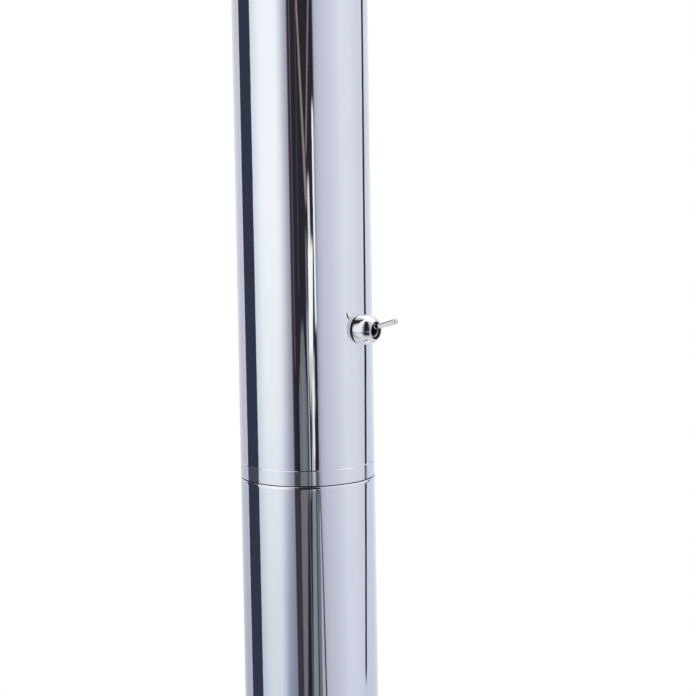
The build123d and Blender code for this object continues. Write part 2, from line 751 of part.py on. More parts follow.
# ---- Light ------------------------------------------------------------------------------------
lens_outer = stack_radius - loose_gap
with BuildPart() as lamp_carrier:
    with BuildSketch(Plane.XY.offset(tube_top - carrier_hub_below)):
        Circle(bore_radius - loose_gap)
        Circle(socket_outer + 0.1, mode=Mode.SUBTRACT)
        with Locations(lamp_spot, return_spot):
            Circle(wire_hole, mode=Mode.SUBTRACT)
    extrude(amount=hub_top - tube_top + carrier_hub_below)
    with BuildSketch(Plane.XY.offset(tube_top)):
        Circle(lens_outer)
        Circle(bore_radius - loose_gap, mode=Mode.SUBTRACT)
    extrude(amount=carrier_flange)
lamp_carrier.part.label = "lamp_carrier"
export_step(lamp_carrier.part, "parts/lamp_carrier.step")

board_inner = socket_outer + 1.0
board_outer = bore_radius - loose_gap - 0.5
chip_place = (board_inner + board_outer) / 2
with BuildPart() as lamp_board:
    with BuildSketch(Plane.XY.offset(hub_top)):
        Circle(board_outer)
        Circle(board_inner, mode=Mode.SUBTRACT)
    extrude(amount=board_thick)
lamp_board.part.label = "lamp_board"
export_step(lamp_board.part, "parts/lamp_board.step")

with BuildPart() as lamp_chips:
    with BuildSketch(Plane.XY.offset(board_top)):
        with PolarLocations(chip_place, chip_count):
            Rectangle(chip_size, chip_size)
    extrude(amount=chip_height)
lamp_chips.part.label = "lamp_chips"
export_step(lamp_chips.part, "parts/lamp_chips.step")

with BuildPart() as light_lens:
    with BuildSketch(Plane.XY.offset(tube_top + carrier_flange)):
        Circle(lens_outer)
        Circle(lens_outer - lens_skirt, mode=Mode.SUBTRACT)
    extrude(amount=lens_top - tube_top - carrier_flange)
    with BuildSketch(Plane.XY.offset(lens_top - lens_thick)):
        Circle(lens_outer)
        Circle(socket_outer + loose_gap, mode=Mode.SUBTRACT)
    extrude(amount=lens_thick)
light_lens.part.label = "light_lens"
export_step(light_lens.part, "parts/light_lens.step")

with BuildPart() as top_collar:
    with BuildSketch(Plane.XZ):
        with BuildLine():
            skirt_bore = post_radius + slide_fit
            lip_bore = stack_radius - 2.4
            Polyline(
                (skirt_bore, collar_low),
                (collar_radius - 1.0, collar_low),
                (collar_radius, collar_low + 1.0),
                (collar_radius, collar_top - 1.5),
                (collar_radius - 1.5, collar_top),
                (lip_bore + 0.6, collar_top),
                (lip_bore, collar_top - 0.6),
                (lip_bore, lens_top),
                (stack_radius, lens_top),
                (stack_radius, tube_top),
                (skirt_bore, tube_top),
                close=True,
            )
        make_face()
    revolve(axis=Axis.Z)
    with BuildSketch(clamp_plane):
        Circle(stud_radius + stud_hole_gap)
    extrude(amount=2 * collar_radius, mode=Mode.SUBTRACT)
    for turn in range(collar_screw_count):
        screw_angle = radians(30 + turn * 360 / collar_screw_count)
        screw_way = (cos(screw_angle), sin(screw_angle), 0)
        with BuildSketch(Plane(origin=(0, 0, collar_low + collar_screw_rise), z_dir=screw_way)):
            Circle(collar_screw_radius)
        extrude(amount=2 * collar_radius, mode=Mode.SUBTRACT)
top_collar.part.label = "top_collar"
export_step(top_collar.part, "parts/top_collar.step")

screw_length = collar_radius - 0.5 - post_radius - slide_fit
with BuildPart() as collar_screws:
    for turn in range(collar_screw_count):
        screw_angle = radians(30 + turn * 360 / collar_screw_count)
        screw_way = Vector(cos(screw_angle), sin(screw_angle), 0)
        screw_start = screw_way * (post_radius + slide_fit) + Vector(0, 0, collar_low + collar_screw_rise)
        with BuildSketch(Plane(origin=screw_start, z_dir=screw_way)):
            Circle(collar_screw_radius)
        extrude(amount=screw_length)
        with BuildSketch(Plane(origin=screw_start + screw_way * screw_length, z_dir=screw_way)):
            RegularPolygon(1.0, 6, major_radius=False)
        extrude(amount=-2.0, mode=Mode.SUBTRACT)
collar_screws.part.label = "collar_screws"
export_step(collar_screws.part, "parts/collar_screws.step")

# ---- Clamp screw ------------------------------------------------------------------------------
pad_face = socket_radius + loose_gap
stud_start = pad_face + pad_tip_length
knob_start = collar_radius + clamp_travel + 0.6
knob_end = knob_start + knob_neck_length + knob_length
with BuildPart() as clamp_pad:
    with BuildSketch(clamp_plane.offset(pad_face)):
        Circle(pad_tip_radius)
    extrude(amount=pad_tip_length)
    with BuildSketch(clamp_plane.offset(stud_start)):
        Circle(pad_stem_radius)
    extrude(amount=pad_stem_length)
clamp_pad.part.label = "clamp_pad"
export_step(clamp_pad.part, "parts/clamp_pad.step")

with BuildPart() as clamp_stud:
    with BuildSketch(clamp_plane.offset(stud_start)):
        Circle(stud_radius)
    extrude(amount=knob_end - 3.0 - stud_start)
    with BuildSketch(clamp_plane.offset(stud_start)):
        Circle(pad_stem_radius + slide_fit)
    extrude(amount=pad_stem_length + loose_gap, mode=Mode.SUBTRACT)
clamp_stud.part.label = "clamp_stud"
export_step(clamp_stud.part, "parts/clamp_stud.step")

with BuildPart() as clamp_knob:
    with BuildSketch(clamp_section):
        with BuildLine():
            grip_start = knob_start + knob_neck_length
            Polyline(
                (knob_start, 0),
                (knob_start, knob_neck_radius),
                (grip_start, knob_neck_radius),
                (grip_start, knob_radius - 1.0),
                (grip_start + 1.0, knob_radius),
                (knob_end - 1.5, knob_radius),
                (knob_end, knob_radius - 1.5),
                (knob_end, 0),
                close=True,
            )
        make_face()
    revolve(axis=clamp_axis)
    with BuildSketch(clamp_plane.offset(knob_start)):
        Circle(stud_radius)
    extrude(amount=knob_end - 3.0 - knob_start, mode=Mode.SUBTRACT)
    with BuildSketch(clamp_plane.offset(grip_start)):
        with PolarLocations(knob_radius + 0.5, knob_groove_count):
            Circle(0.9)
    extrude(amount=knob_length, mode=Mode.SUBTRACT)
clamp_knob.part.label = "clamp_knob"
export_step(clamp_knob.part, "parts/clamp_knob.step")

# ---- Wires inside the upper post --------------------------------------------------------------
# Straight runs joined by arcs. Each arc takes 0.45 of the shorter run beside it.
lug_middle = -(body_low - lug_length / 2)
lug_low = switch_height - lug_pitch - 0.4
lug_high = switch_height + lug_pitch + 0.4
supply_rise = lug_low - rivet_top
supply_route = (
    (supply_place, 0, rivet_top),
    (supply_place, 0, rivet_top + 0.3 * supply_rise),
    (0, lug_middle, rivet_top + 0.7 * supply_rise),
    (0, lug_middle, lug_low),
)
lamp_route = (
    (0, lug_middle, lug_high),
    (0, lug_middle, lug_high + 8.0),
    (lamp_spot[0], lamp_spot[1], socket_low - 3.0),
    (lamp_spot[0], lamp_spot[1], hub_top),
)
return_route = (
    (return_place, 0, rivet_top),
    (return_place, 0, switch_height - 20.0),
    (return_spot[0], return_spot[1], socket_low - 6.0),
    (return_spot[0], return_spot[1], hub_top),
)


def bend_radii(route):
    """Give the largest arc that each corner of a route has room for."""
    radii = []
    for before, corner, after in zip(route, route[1:], route[2:]):
        run_in = Vector(corner) - Vector(before)
        run_out = Vector(after) - Vector(corner)
        turn = radians(run_in.get_angle(run_out))
        radii.append(0.45 * min(run_in.length, run_out.length) / tan(turn / 2))
    return radii


with BuildPart() as supply_wire:
    with BuildLine():
        FilletPolyline(supply_route, radius=bend_radii(supply_route))
    with BuildSketch(Plane(origin=supply_route[0], z_dir=(0, 0, 1))):
        Circle(wire_radius)
    sweep()
supply_wire.part.label = "supply_wire"
export_step(supply_wire.part, "parts/supply_wire.step")

with BuildPart() as lamp_wire:
    with BuildLine():
        FilletPolyline(lamp_route, radius=bend_radii(lamp_route))
    with BuildSketch(Plane(origin=lamp_route[0], z_dir=(0, 0, 1))):
        Circle(wire_radius)
    sweep()
lamp_wire.part.label = "lamp_wire"
export_step(lamp_wire.part, "parts/lamp_wire.step")

with BuildPart() as return_wire:
    with BuildLine():
        FilletPolyline(return_route, radius=bend_radii(return_route))
    with BuildSketch(Plane(origin=return_route[0], z_dir=(0, 0, 1))):
        Circle(wire_radius)
    sweep()
return_wire.part.label = "return_wire"
export_step(return_wire.part, "parts/return_wire.step")

print("wire bend radii", [round(r, 1) for r in bend_radii(supply_route) + bend_radii(lamp_route)])
print("seam", seam_height, "switch", switch_height, "tube top", tube_top, "mouth", mouth_height)
print("pole seat", pole_seat, "clamp", clamp_height, "pivot", pivot_place, "rocker", rocker_place)
print("rocker share", round(rocker_tilt / radians(lever_tilt), 4), "knob end", knob_end)
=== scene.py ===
import json
from math import acos, asin, atan2, cos, degrees, hypot, pi, radians, sin

import bmesh
import bpy
from bpy.props import FloatProperty, FloatVectorProperty, IntProperty, PointerProperty
from bpy.types import Operator, Panel, PropertyGroup
from mathutils import Matrix, Vector


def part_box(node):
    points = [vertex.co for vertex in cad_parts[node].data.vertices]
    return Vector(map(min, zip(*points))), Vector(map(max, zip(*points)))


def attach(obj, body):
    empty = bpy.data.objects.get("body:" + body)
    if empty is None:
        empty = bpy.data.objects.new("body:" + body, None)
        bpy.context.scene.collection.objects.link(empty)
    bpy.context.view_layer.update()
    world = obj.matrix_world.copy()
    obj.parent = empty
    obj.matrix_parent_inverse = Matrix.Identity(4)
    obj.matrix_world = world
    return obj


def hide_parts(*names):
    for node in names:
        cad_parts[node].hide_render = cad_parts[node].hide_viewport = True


bl_info = {
    "name": "Flag Pole Stand",
    "version": (1, 0, 0),
    "blender": (4, 5, 0),
    "location": "View3D > Sidebar > Stand",
    "description": "Builds the chromed flag pole stand, its finishes and its studio round the packed model",
    "category": "Object",
}

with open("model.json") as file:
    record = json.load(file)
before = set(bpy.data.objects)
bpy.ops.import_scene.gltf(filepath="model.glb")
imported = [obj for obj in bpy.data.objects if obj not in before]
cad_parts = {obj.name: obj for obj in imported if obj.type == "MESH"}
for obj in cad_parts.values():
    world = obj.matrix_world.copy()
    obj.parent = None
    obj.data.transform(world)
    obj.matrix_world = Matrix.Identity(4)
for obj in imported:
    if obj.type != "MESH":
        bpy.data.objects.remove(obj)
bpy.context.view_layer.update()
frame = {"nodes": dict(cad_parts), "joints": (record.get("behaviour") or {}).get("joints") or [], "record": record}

MM = 0.001
UP = Vector((0, 0, 1))
SWITCH_WAY = Vector((0, -1, 0))
CLAMP_WAY = Vector((0, 1, 0))

# Sizes of the switch, the clamp screw and the holes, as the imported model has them.
BUSHING_RADIUS = 3.175 * MM
BUSHING_BORE = 2.4 * MM
THREAD_PITCH = 0.635 * MM
DOME_CENTRE = 3.2 * MM
DOME_MOUTH = 3.95 * MM
DOME_SEAT = 4.0 * MM
TOP_PLATE = 0.8 * MM
LEVER_TILT = radians(17.0)
LEVER_LENGTH = 16.8 * MM
PIN_RADIUS = 0.4 * MM
SWITCH_HOLE = 3.225 * MM
STUD_RADIUS = 4.0 * MM
STUD_PITCH = 1.25 * MM
STUD_HOLE = 4.6 * MM
SLEEVE_HOLE = 4.05 * MM
SET_SCREW_HOLE = 2.0 * MM
SET_SCREW_RISE = 9.0 * MM
SET_SCREW_TURNS = (30, 150, 270)
SEAT_STEP = 0.6 * MM
SWITCH_ROW = 5.5 * MM
CLAMP_ROW = 6.0 * MM
KNOB_FLUTES = 24


# ---- Places read from the frame ---------------------------------------------------------------
def low(node):
    """Give the lowest corner of a CAD node."""
    return Vector(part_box(node)[0])


def high(node):
    """Give the highest corner of a CAD node."""
    return Vector(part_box(node)[1])


def joint_place(name):
    """Give the place of a joint in the frame."""
    joint = next(j for j in frame["joints"] if j["name"] == name)
    return Vector(joint["pos_m"])


def mount_radius(name):
    """Give the radius of a round mount."""
    mount = next(m for m in frame["record"]["mounts"] if m["name"] == name)
    return mount["dims"]["r_mm"] * MM


post_radius = high("lower_tube").x
base_radius = high("base_cover").x
base_top = high("base_cover").z
seam_height = high("lower_tube").z
ring_top = high("joint_ring").z
tube_top = high("upper_tube").z
lens_top = high("light_lens").z
mouth_top = high("socket_sleeve").z
socket_radius = mount_radius("pole_socket")
socket_outer = high("socket_sleeve").x
lever_pivot = joint_place("switch_toggle")
switch_height = lever_pivot.z
clamp_height = joint_place("clamp_turn").z


# ---- Sizes and colours that a user may change -------------------------------------------------
def length(name, description, millimetres):
    """Give a length property."""
    return FloatProperty(name=name, description=description, default=millimetres * MM, unit="LENGTH")


def angle(name, description, turn):
    """Give an angle property from degrees."""
    return FloatProperty(name=name, description=description, default=radians(turn), subtype="ANGLE")


def tint(name, description, red, green, blue):
    """Give a colour property."""
    return FloatVectorProperty(
        name=name, description=description, subtype="COLOR", size=4, default=(red, green, blue, 1)
    )


class StandSizes(PropertyGroup):
    """Small sizes of the finished pieces."""

    round_steps: IntProperty(name="Round steps", description="Facets round a large piece", default=256)
    tube_wall: length("Tube wall", "Wall of the post tubes", 1.5)
    skin: length("Cover skin", "Wall of the spun base cover", 1.2)
    seam_gap: length("Seam gap", "Open height of the joint in the post", 0.42)
    seam_edge: length("Seam edge", "Broken edge beside the joint", 0.32)
    groove_depth: length("Seam depth", "Depth of the open joint", 0.9)
    knurl_depth: length("Knurl depth", "Depth of the flutes in the knob", 0.7)


class StandColours(PropertyGroup):
    """Colours of the finishes."""

    chrome: tint("Chrome", "Chrome plate", 0.93, 0.935, 0.945)
    nickel: tint("Nickel", "Nickel plate", 0.88, 0.865, 0.85)
    satin: tint("Satin steel", "Drawn steel", 0.56, 0.56, 0.57)
    zinc: tint("Zinc", "Zinc-plated steel", 0.62, 0.63, 0.66)
    brass: tint("Brass", "Spring brass", 0.75, 0.52, 0.22)
    iron: tint("Cast iron", "Painted iron", 0.035, 0.035, 0.04)
    rubber: tint("Rubber", "Black rubber", 0.012, 0.012, 0.013)
    opal: tint("Opal", "Opal lens", 0.86, 0.86, 0.83)


class StudioSettings(PropertyGroup):
    """Camera and light."""

    lens: FloatProperty(name="Lens", description="Focal length in millimetres", default=181.0)
    camera_bearing: angle("Bearing", "Camera bearing from the switch", -54.0)
    camera_reach: length("Reach", "Camera distance from the post", 1542)
    camera_height: length("Height", "Camera height", 682)
    camera_turn: angle("Turn", "How far the camera looks past the post", 0.70)
    camera_pitch: angle("Pitch", "How far the camera looks down", 8.35)
    camera_roll: angle("Roll", "Camera roll", 0.93)
    floor_radius: length("Floor radius", "Radius of the pale floor", 900)
    ceiling: FloatProperty(name="Ceiling", description="Brightness overhead", default=1.5)


# ---- Mesh work --------------------------------------------------------------------------------
def deselect_all():
    """Leave nothing selected and no piece in edit mode."""
    if bpy.context.object and bpy.context.object.mode != "OBJECT":
        bpy.ops.object.mode_set(mode="OBJECT")
    bpy.ops.object.select_all(action="DESELECT")


def take(piece):
    """Make one piece the only selected and active one."""
    deselect_all()
    piece.select_set(True)
    bpy.context.view_layer.objects.active = piece


def added(name):
    """Name the primitive that was just added."""
    piece = bpy.context.object
    piece.name = name
    piece.data.name = name
    return piece


def apply_modifier(piece, kind, **values):
    """Add a modifier with its values and apply it."""
    take(piece)
    bpy.ops.object.modifier_add(type=kind)
    modifier = piece.modifiers[-1]
    for key, value in values.items():
        setattr(modifier, key, value)
    bpy.ops.object.modifier_apply(modifier=modifier.name)


def smooth(piece, angle=32):
    """Shade a piece smooth except at its sharp edges."""
    take(piece)
    bpy.ops.object.shade_smooth_by_angle(angle=radians(angle))


def settle(piece):
    """Put a piece's place into its mesh."""
    take(piece)
    bpy.ops.object.transform_apply(location=True, rotation=True, scale=True)


def broken_edges(piece, width, segments=3, angle=40):
    """Round a piece's sharp edges."""
    apply_modifier(
        piece,
        "BEVEL",
        width=width,
        segments=segments,
        limit_method="ANGLE",
        angle_limit=radians(angle),
        use_clamp_overlap=True,
    )


def opened(piece, kind):
    """Open the active piece for editing with nothing selected, and give its mesh."""
    bpy.ops.object.mode_set(mode="EDIT")
    bpy.ops.mesh.select_mode(type=kind)
    bpy.ops.mesh.select_all(action="DESELECT")
    return bmesh.from_edit_mesh(piece.data)


def turned(name, outline, steps, way=UP, start=Vector((0, 0, 0)), edge=0.0, segments=3):
    """Turn a closed outline of (radius, height) points about the line from start along way."""
    deselect_all()
    bpy.ops.mesh.primitive_circle_add(vertices=len(outline), radius=1.0)
    piece = added(name)
    for vertex, (radius, height) in zip(piece.data.vertices, outline):
        vertex.co = (radius, 0.0, height)
    shape = opened(piece, "EDGE")
    on_axis = 0
    for line in shape.edges:
        line.select = all(v.co.x < 1e-7 for v in line.verts)
        on_axis += line.select
    bmesh.update_edit_mesh(piece.data)
    if on_axis:
        bpy.ops.mesh.delete(type="EDGE")
    bpy.ops.mesh.select_all(action="SELECT")
    bpy.ops.mesh.spin(steps=steps, angle=2 * pi, center=(0, 0, 0), axis=(0, 0, 1))
    bpy.ops.mesh.select_all(action="SELECT")
    bpy.ops.mesh.remove_doubles(threshold=1e-6)
    bpy.ops.mesh.normals_make_consistent(inside=False)
    bpy.ops.object.mode_set(mode="OBJECT")
    piece.matrix_world = Matrix.Translation(start) @ UP.rotation_difference(way).to_matrix().to_4x4()
    settle(piece)
    if edge:
        broken_edges(piece, edge, segments)
    smooth(piece)
    return piece


def arc(centre, radius, first, last, count):
    """Give points on an arc about centre, from one angle in degrees to another."""
    spread = [radians(first + (last - first) * i / count) for i in range(count + 1)]
    return [(centre[0] + radius * cos(a), centre[1] + radius * sin(a)) for a in spread]


def rounded(corner, before, after, radius, count=6):
    """Give the arc that rounds one corner of an outline."""
    here, back, on = Vector(corner), Vector(before), Vector(after)
    way_back = (back - here).normalized()
    way_on = (on - here).normalized()
    half = way_back.angle(way_on) / 2
    reach = radius / (sin(half) / cos(half))
    middle = here + (way_back + way_on).normalized() * (radius / sin(half))
    first = here + way_back * reach - middle
    last = here + way_on * reach - middle
    points = []
    for i in range(count + 1):
        share = first.lerp(last, i / count).normalized() * radius
        points.append(tuple(middle + share))
    return points


def outline_of(corners):
    """Give an outline from corners (radius, height, rounding), with each rounding as an arc."""
    points = []
    for i, (r, z, rounding) in enumerate(corners):
        if rounding:
            before = corners[i - 1][:2]
            after = corners[(i + 1) % len(corners)][:2]
            points += rounded((r, z), before, after, rounding)
        else:
            points.append((r, z))
    return points


def cut_away(piece, cutter):
    """Cut one piece with another, and remove the cutter."""
    settle(cutter)
    apply_modifier(piece, "BOOLEAN", operation="DIFFERENCE", object=cutter, solver="EXACT")
    bpy.data.objects.remove(cutter)
    smooth(piece)


def bored(piece, radius, way, start, reach=50 * MM):
    """Bore a round hole outward from the axis, so that it passes through one wall."""
    deselect_all()
    bpy.ops.mesh.primitive_cylinder_add(vertices=64, radius=radius, depth=reach)
    cutter = added("hole_cutter")
    middle = Vector(start) + way * (reach / 2)
    cutter.matrix_world = Matrix.Translation(middle) @ way.to_track_quat("Z", "Y").to_matrix().to_4x4()
    cut_away(piece, cutter)


def paint_faces(piece, finish, chosen):
    """Give the faces whose middles chosen accepts a finish of their own."""
    piece.data.materials.append(finishes[finish])
    take(piece)
    shape = opened(piece, "FACE")
    for face in shape.faces:
        face.select = chosen(face.calc_center_median())
    bmesh.update_edit_mesh(piece.data)
    piece.active_material_index = len(piece.data.materials) - 1
    bpy.ops.object.material_slot_assign()
    bpy.ops.object.mode_set(mode="OBJECT")


def place(piece, body, finish, slot, *nodes):
    """Give a finished piece its finish, and say what it rides on and which nodes it stands for."""
    piece.data.materials.clear()
    piece.data.materials.append(finishes[finish])
    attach(piece, body)
    if nodes:
        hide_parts(*nodes)
    return piece


# ---- Shader groups ----------------------------------------------------------------------------
def new_group(name, inputs, outputs):
    """Start a shader group with named sockets. Return it with its input and output nodes."""
    group = bpy.data.node_groups.new(name, "ShaderNodeTree")
    for label, kind, value in inputs:
        socket = group.interface.new_socket(name=label, in_out="INPUT", socket_type=kind)
        socket.default_value = value
    for label, kind in outputs:
        group.interface.new_socket(name=label, in_out="OUTPUT", socket_type=kind)
    return group, group.nodes.new("NodeGroupInput"), group.nodes.new("NodeGroupOutput")


def fill(node, values):
    """Set a node's inputs by name."""
    for name, value in values.items():
        node.inputs[name].default_value = value


def placed(tree, group_name, values):
    """Place a shader group with its own values."""
    node = tree.nodes.new("ShaderNodeGroup")
    node.node_tree = bpy.data.node_groups[group_name]
    fill(node, values)
    return node.outputs


def blend(tree, factor, first, second):
    """Mix two colours, each a socket or a plain value."""
    node = tree.nodes.new("ShaderNodeMix")
    node.data_type = "RGBA"
    for name, value in (("A", first), ("B", second)):
        if isinstance(value, (tuple, list)):
            node.inputs[name].default_value = value
        else:
            tree.links.new(value, node.inputs[name])
    tree.links.new(factor, node.inputs["Factor"])
    return node.outputs["Result"]


def math_node(group, operation, first, second=None):
    """Add a Math node fed by sockets or numbers, and return its result."""
    node = group.nodes.new("ShaderNodeMath")
    node.operation = operation
    for socket, value in zip(node.inputs, (first, second)):
        if value is None:
            continue
        if isinstance(value, (int, float)):
            socket.default_value = value
        else:
            group.links.new(value, socket)
    return node.outputs[0]


def vector_node(group, operation, first, second=None):
    """Add a Vector Math node fed by sockets or triples, and return the node."""
    node = group.nodes.new("ShaderNodeVectorMath")
    node.operation = operation
    for socket, value in zip(node.inputs, (first, second)):
        if isinstance(value, tuple):
            socket.default_value = value
        elif value is not None:
            group.links.new(value, socket)
    return node


def remap(group, value, from_low, from_high, to_low, to_high, ends="SMOOTHSTEP"):
    """Spread a value from one span to another, with smooth ends unless told otherwise."""
    node = group.nodes.new("ShaderNodeMapRange")
    node.interpolation_type = ends
    fill(node, {"From Min": from_low, "From Max": from_high, "To Min": to_low, "To Max": to_high})
    group.links.new(value, node.inputs["Value"])
    return node.outputs["Result"]


def noise(group, where, scale, detail=2.0, rough=0.5, stretch=(1, 1, 1)):
    """Add noise on stretched coordinates, and return its value."""
    mapping = group.nodes.new("ShaderNodeMapping")
    mapping.inputs["Scale"].default_value = stretch
    group.links.new(where, mapping.inputs["Vector"])
    node = group.nodes.new("ShaderNodeTexNoise")
    fill(node, {"Detail": detail, "Roughness": rough})
    if isinstance(scale, (int, float)):
        node.inputs["Scale"].default_value = scale
    else:
        group.links.new(scale, node.inputs["Scale"])
    group.links.new(mapping.outputs["Vector"], node.inputs["Vector"])
    return node.outputs["Fac"]


def handling_group():
    """Build the marks that polished metal picks up: haze, fine wipe lines and a faint unevenness."""
    group, given, out = new_group(
        "handling marks",
        [
            ("Base Roughness", "NodeSocketFloat", 0.02),
            ("Haze", "NodeSocketFloat", 0.03),
            ("Wipe Lines", "NodeSocketFloat", 0.02),
            ("Waviness", "NodeSocketFloat", 1.0),
        ],
        [("Roughness", "NodeSocketFloat"), ("Height", "NodeSocketFloat"), ("Film", "NodeSocketFloat")],
    )
    where = group.nodes.new("ShaderNodeTexCoord").outputs["Object"]
    haze = remap(group, noise(group, where, 22.0, 4.0, 0.6), 0.45, 0.8, 0.0, 1.0)
    wipes = remap(group, noise(group, where, 900.0, 3.0, 0.6, (1, 1, 0.02)), 0.55, 0.75, 0.0, 1.0)
    wave = noise(group, where, 9.0, 1.0, 0.4, (1, 1, 0.25))
    hazed = math_node(group, "MULTIPLY", haze, given.outputs["Haze"])
    wiped = math_node(group, "MULTIPLY", wipes, given.outputs["Wipe Lines"])
    marks = math_node(group, "ADD", hazed, wiped)
    rough = math_node(group, "ADD", marks, given.outputs["Base Roughness"])
    height = math_node(group, "MULTIPLY", wave, given.outputs["Waviness"])
    group.links.new(rough, out.inputs["Roughness"])
    group.links.new(height, out.inputs["Height"])
    group.links.new(haze, out.inputs["Film"])
    return group


def grain_group():
    """Build a fine mottled grain for moulded, cast, drawn and rubber surfaces."""
    group, given, out = new_group(
        "surface grain",
        [
            ("Colour", "NodeSocketColor", (0.5, 0.5, 0.5, 1)),
            ("Variation", "NodeSocketFloat", 0.15),
            ("Grain Scale", "NodeSocketFloat", 1200.0),
            ("Base Roughness", "NodeSocketFloat", 0.5),
            ("Roughness Spread", "NodeSocketFloat", 0.15),
        ],
        [("Colour", "NodeSocketColor"), ("Roughness", "NodeSocketFloat"), ("Height", "NodeSocketFloat")],
    )
    where = group.nodes.new("ShaderNodeTexCoord").outputs["Object"]
    broad = noise(group, where, 60.0, 4.0, 0.6)
    fine = noise(group, where, given.outputs["Grain Scale"], 2.0, 0.5)
    coarse = math_node(group, "MULTIPLY", broad, 0.6)
    mixed = math_node(group, "ADD", coarse, math_node(group, "MULTIPLY", fine, 0.4))
    swing = math_node(group, "SUBTRACT", mixed, 0.5)
    shade = math_node(group, "ADD", math_node(group, "MULTIPLY", swing, given.outputs["Variation"]), 1.0)
    shaded = vector_node(group, "SCALE", given.outputs["Colour"])
    group.links.new(shade, shaded.inputs["Scale"])
    spread = math_node(group, "MULTIPLY", swing, given.outputs["Roughness Spread"])
    rough = math_node(group, "ADD", spread, given.outputs["Base Roughness"])
    group.links.new(shaded.outputs[0], out.inputs["Colour"])
    group.links.new(rough, out.inputs["Roughness"])
    group.links.new(fine, out.inputs["Height"])
    return group


def shader(name):
    """Start a material and return it with its node tree and its Principled shader."""
    material = bpy.data.materials.new(name)
    material.use_nodes = True
    return material, material.node_tree, material.node_tree.nodes["Principled BSDF"]


def bump(tree, height, bsdf, strength, distance):
    """Feed a height to the shader's normal."""
    node = tree.nodes.new("ShaderNodeBump")
    fill(node, {"Strength": strength, "Distance": distance})
    tree.links.new(height, node.inputs["Height"])
    tree.links.new(node.outputs["Normal"], bsdf.inputs["Normal"])


def plated(name, colour, roughness, haze, wipes, waviness, metal=1.0):
    """Make a bright plated metal with handling marks."""
    material, tree, bsdf = shader(name)
    values = {"Base Roughness": roughness, "Haze": haze, "Wipe Lines": wipes, "Waviness": waviness}
    marks = placed(tree, "handling marks", values)
    film = blend(tree, marks["Film"], colour, [c * 0.96 for c in colour[:3]] + [1])
    tree.links.new(film, bsdf.inputs["Base Color"])
    tree.links.new(marks["Roughness"], bsdf.inputs["Roughness"])
    bsdf.inputs["Metallic"].default_value = metal
    bump(tree, marks["Height"], bsdf, 0.25, 0.0002)
    return material


def grained(name, colour, roughness, variation=0.15, scale=1200.0, metal=0.0, depth=0.00005, strength=0.4):
    """Make a grained surface, from rubber to satin metal."""
    material, tree, bsdf = shader(name)
    values = {"Colour": colour, "Variation": variation, "Grain Scale": scale, "Base Roughness": roughness}
    grain = placed(tree, "surface grain", values)
    tree.links.new(grain["Colour"], bsdf.inputs["Base Color"])
    tree.links.new(grain["Roughness"], bsdf.inputs["Roughness"])
    bsdf.inputs["Metallic"].default_value = metal
    bump(tree, grain["Height"], bsdf, strength, depth)
    return material


def opal_finish(name, colour):
    """Make the opal lens, with a faint warm spot over each lamp."""
    material, tree, bsdf = shader(name)
    grain = placed(tree, "surface grain", {"Colour": colour, "Variation": 0.04, "Base Roughness": 0.32})
    where = tree.nodes.new("ShaderNodeTexCoord").outputs["Object"]
    parts = tree.nodes.new("ShaderNodeSeparateXYZ")
    tree.links.new(where, parts.inputs["Vector"])
    angle = math_node(tree, "ARCTAN2", parts.outputs["Y"], parts.outputs["X"])
    beat = math_node(tree, "COSINE", math_node(tree, "MULTIPLY", angle, 12.0))
    spots = remap(tree, beat, 0.2, 1.0, 0.0, 0.35)
    warm = blend(tree, spots, grain["Colour"], (0.93, 0.87, 0.66, 1))
    tree.links.new(warm, bsdf.inputs["Base Color"])
    tree.links.new(grain["Roughness"], bsdf.inputs["Roughness"])
    fill(bsdf, {"Subsurface Weight": 0.15, "Subsurface Radius": (0.004, 0.004, 0.003)})
    return material


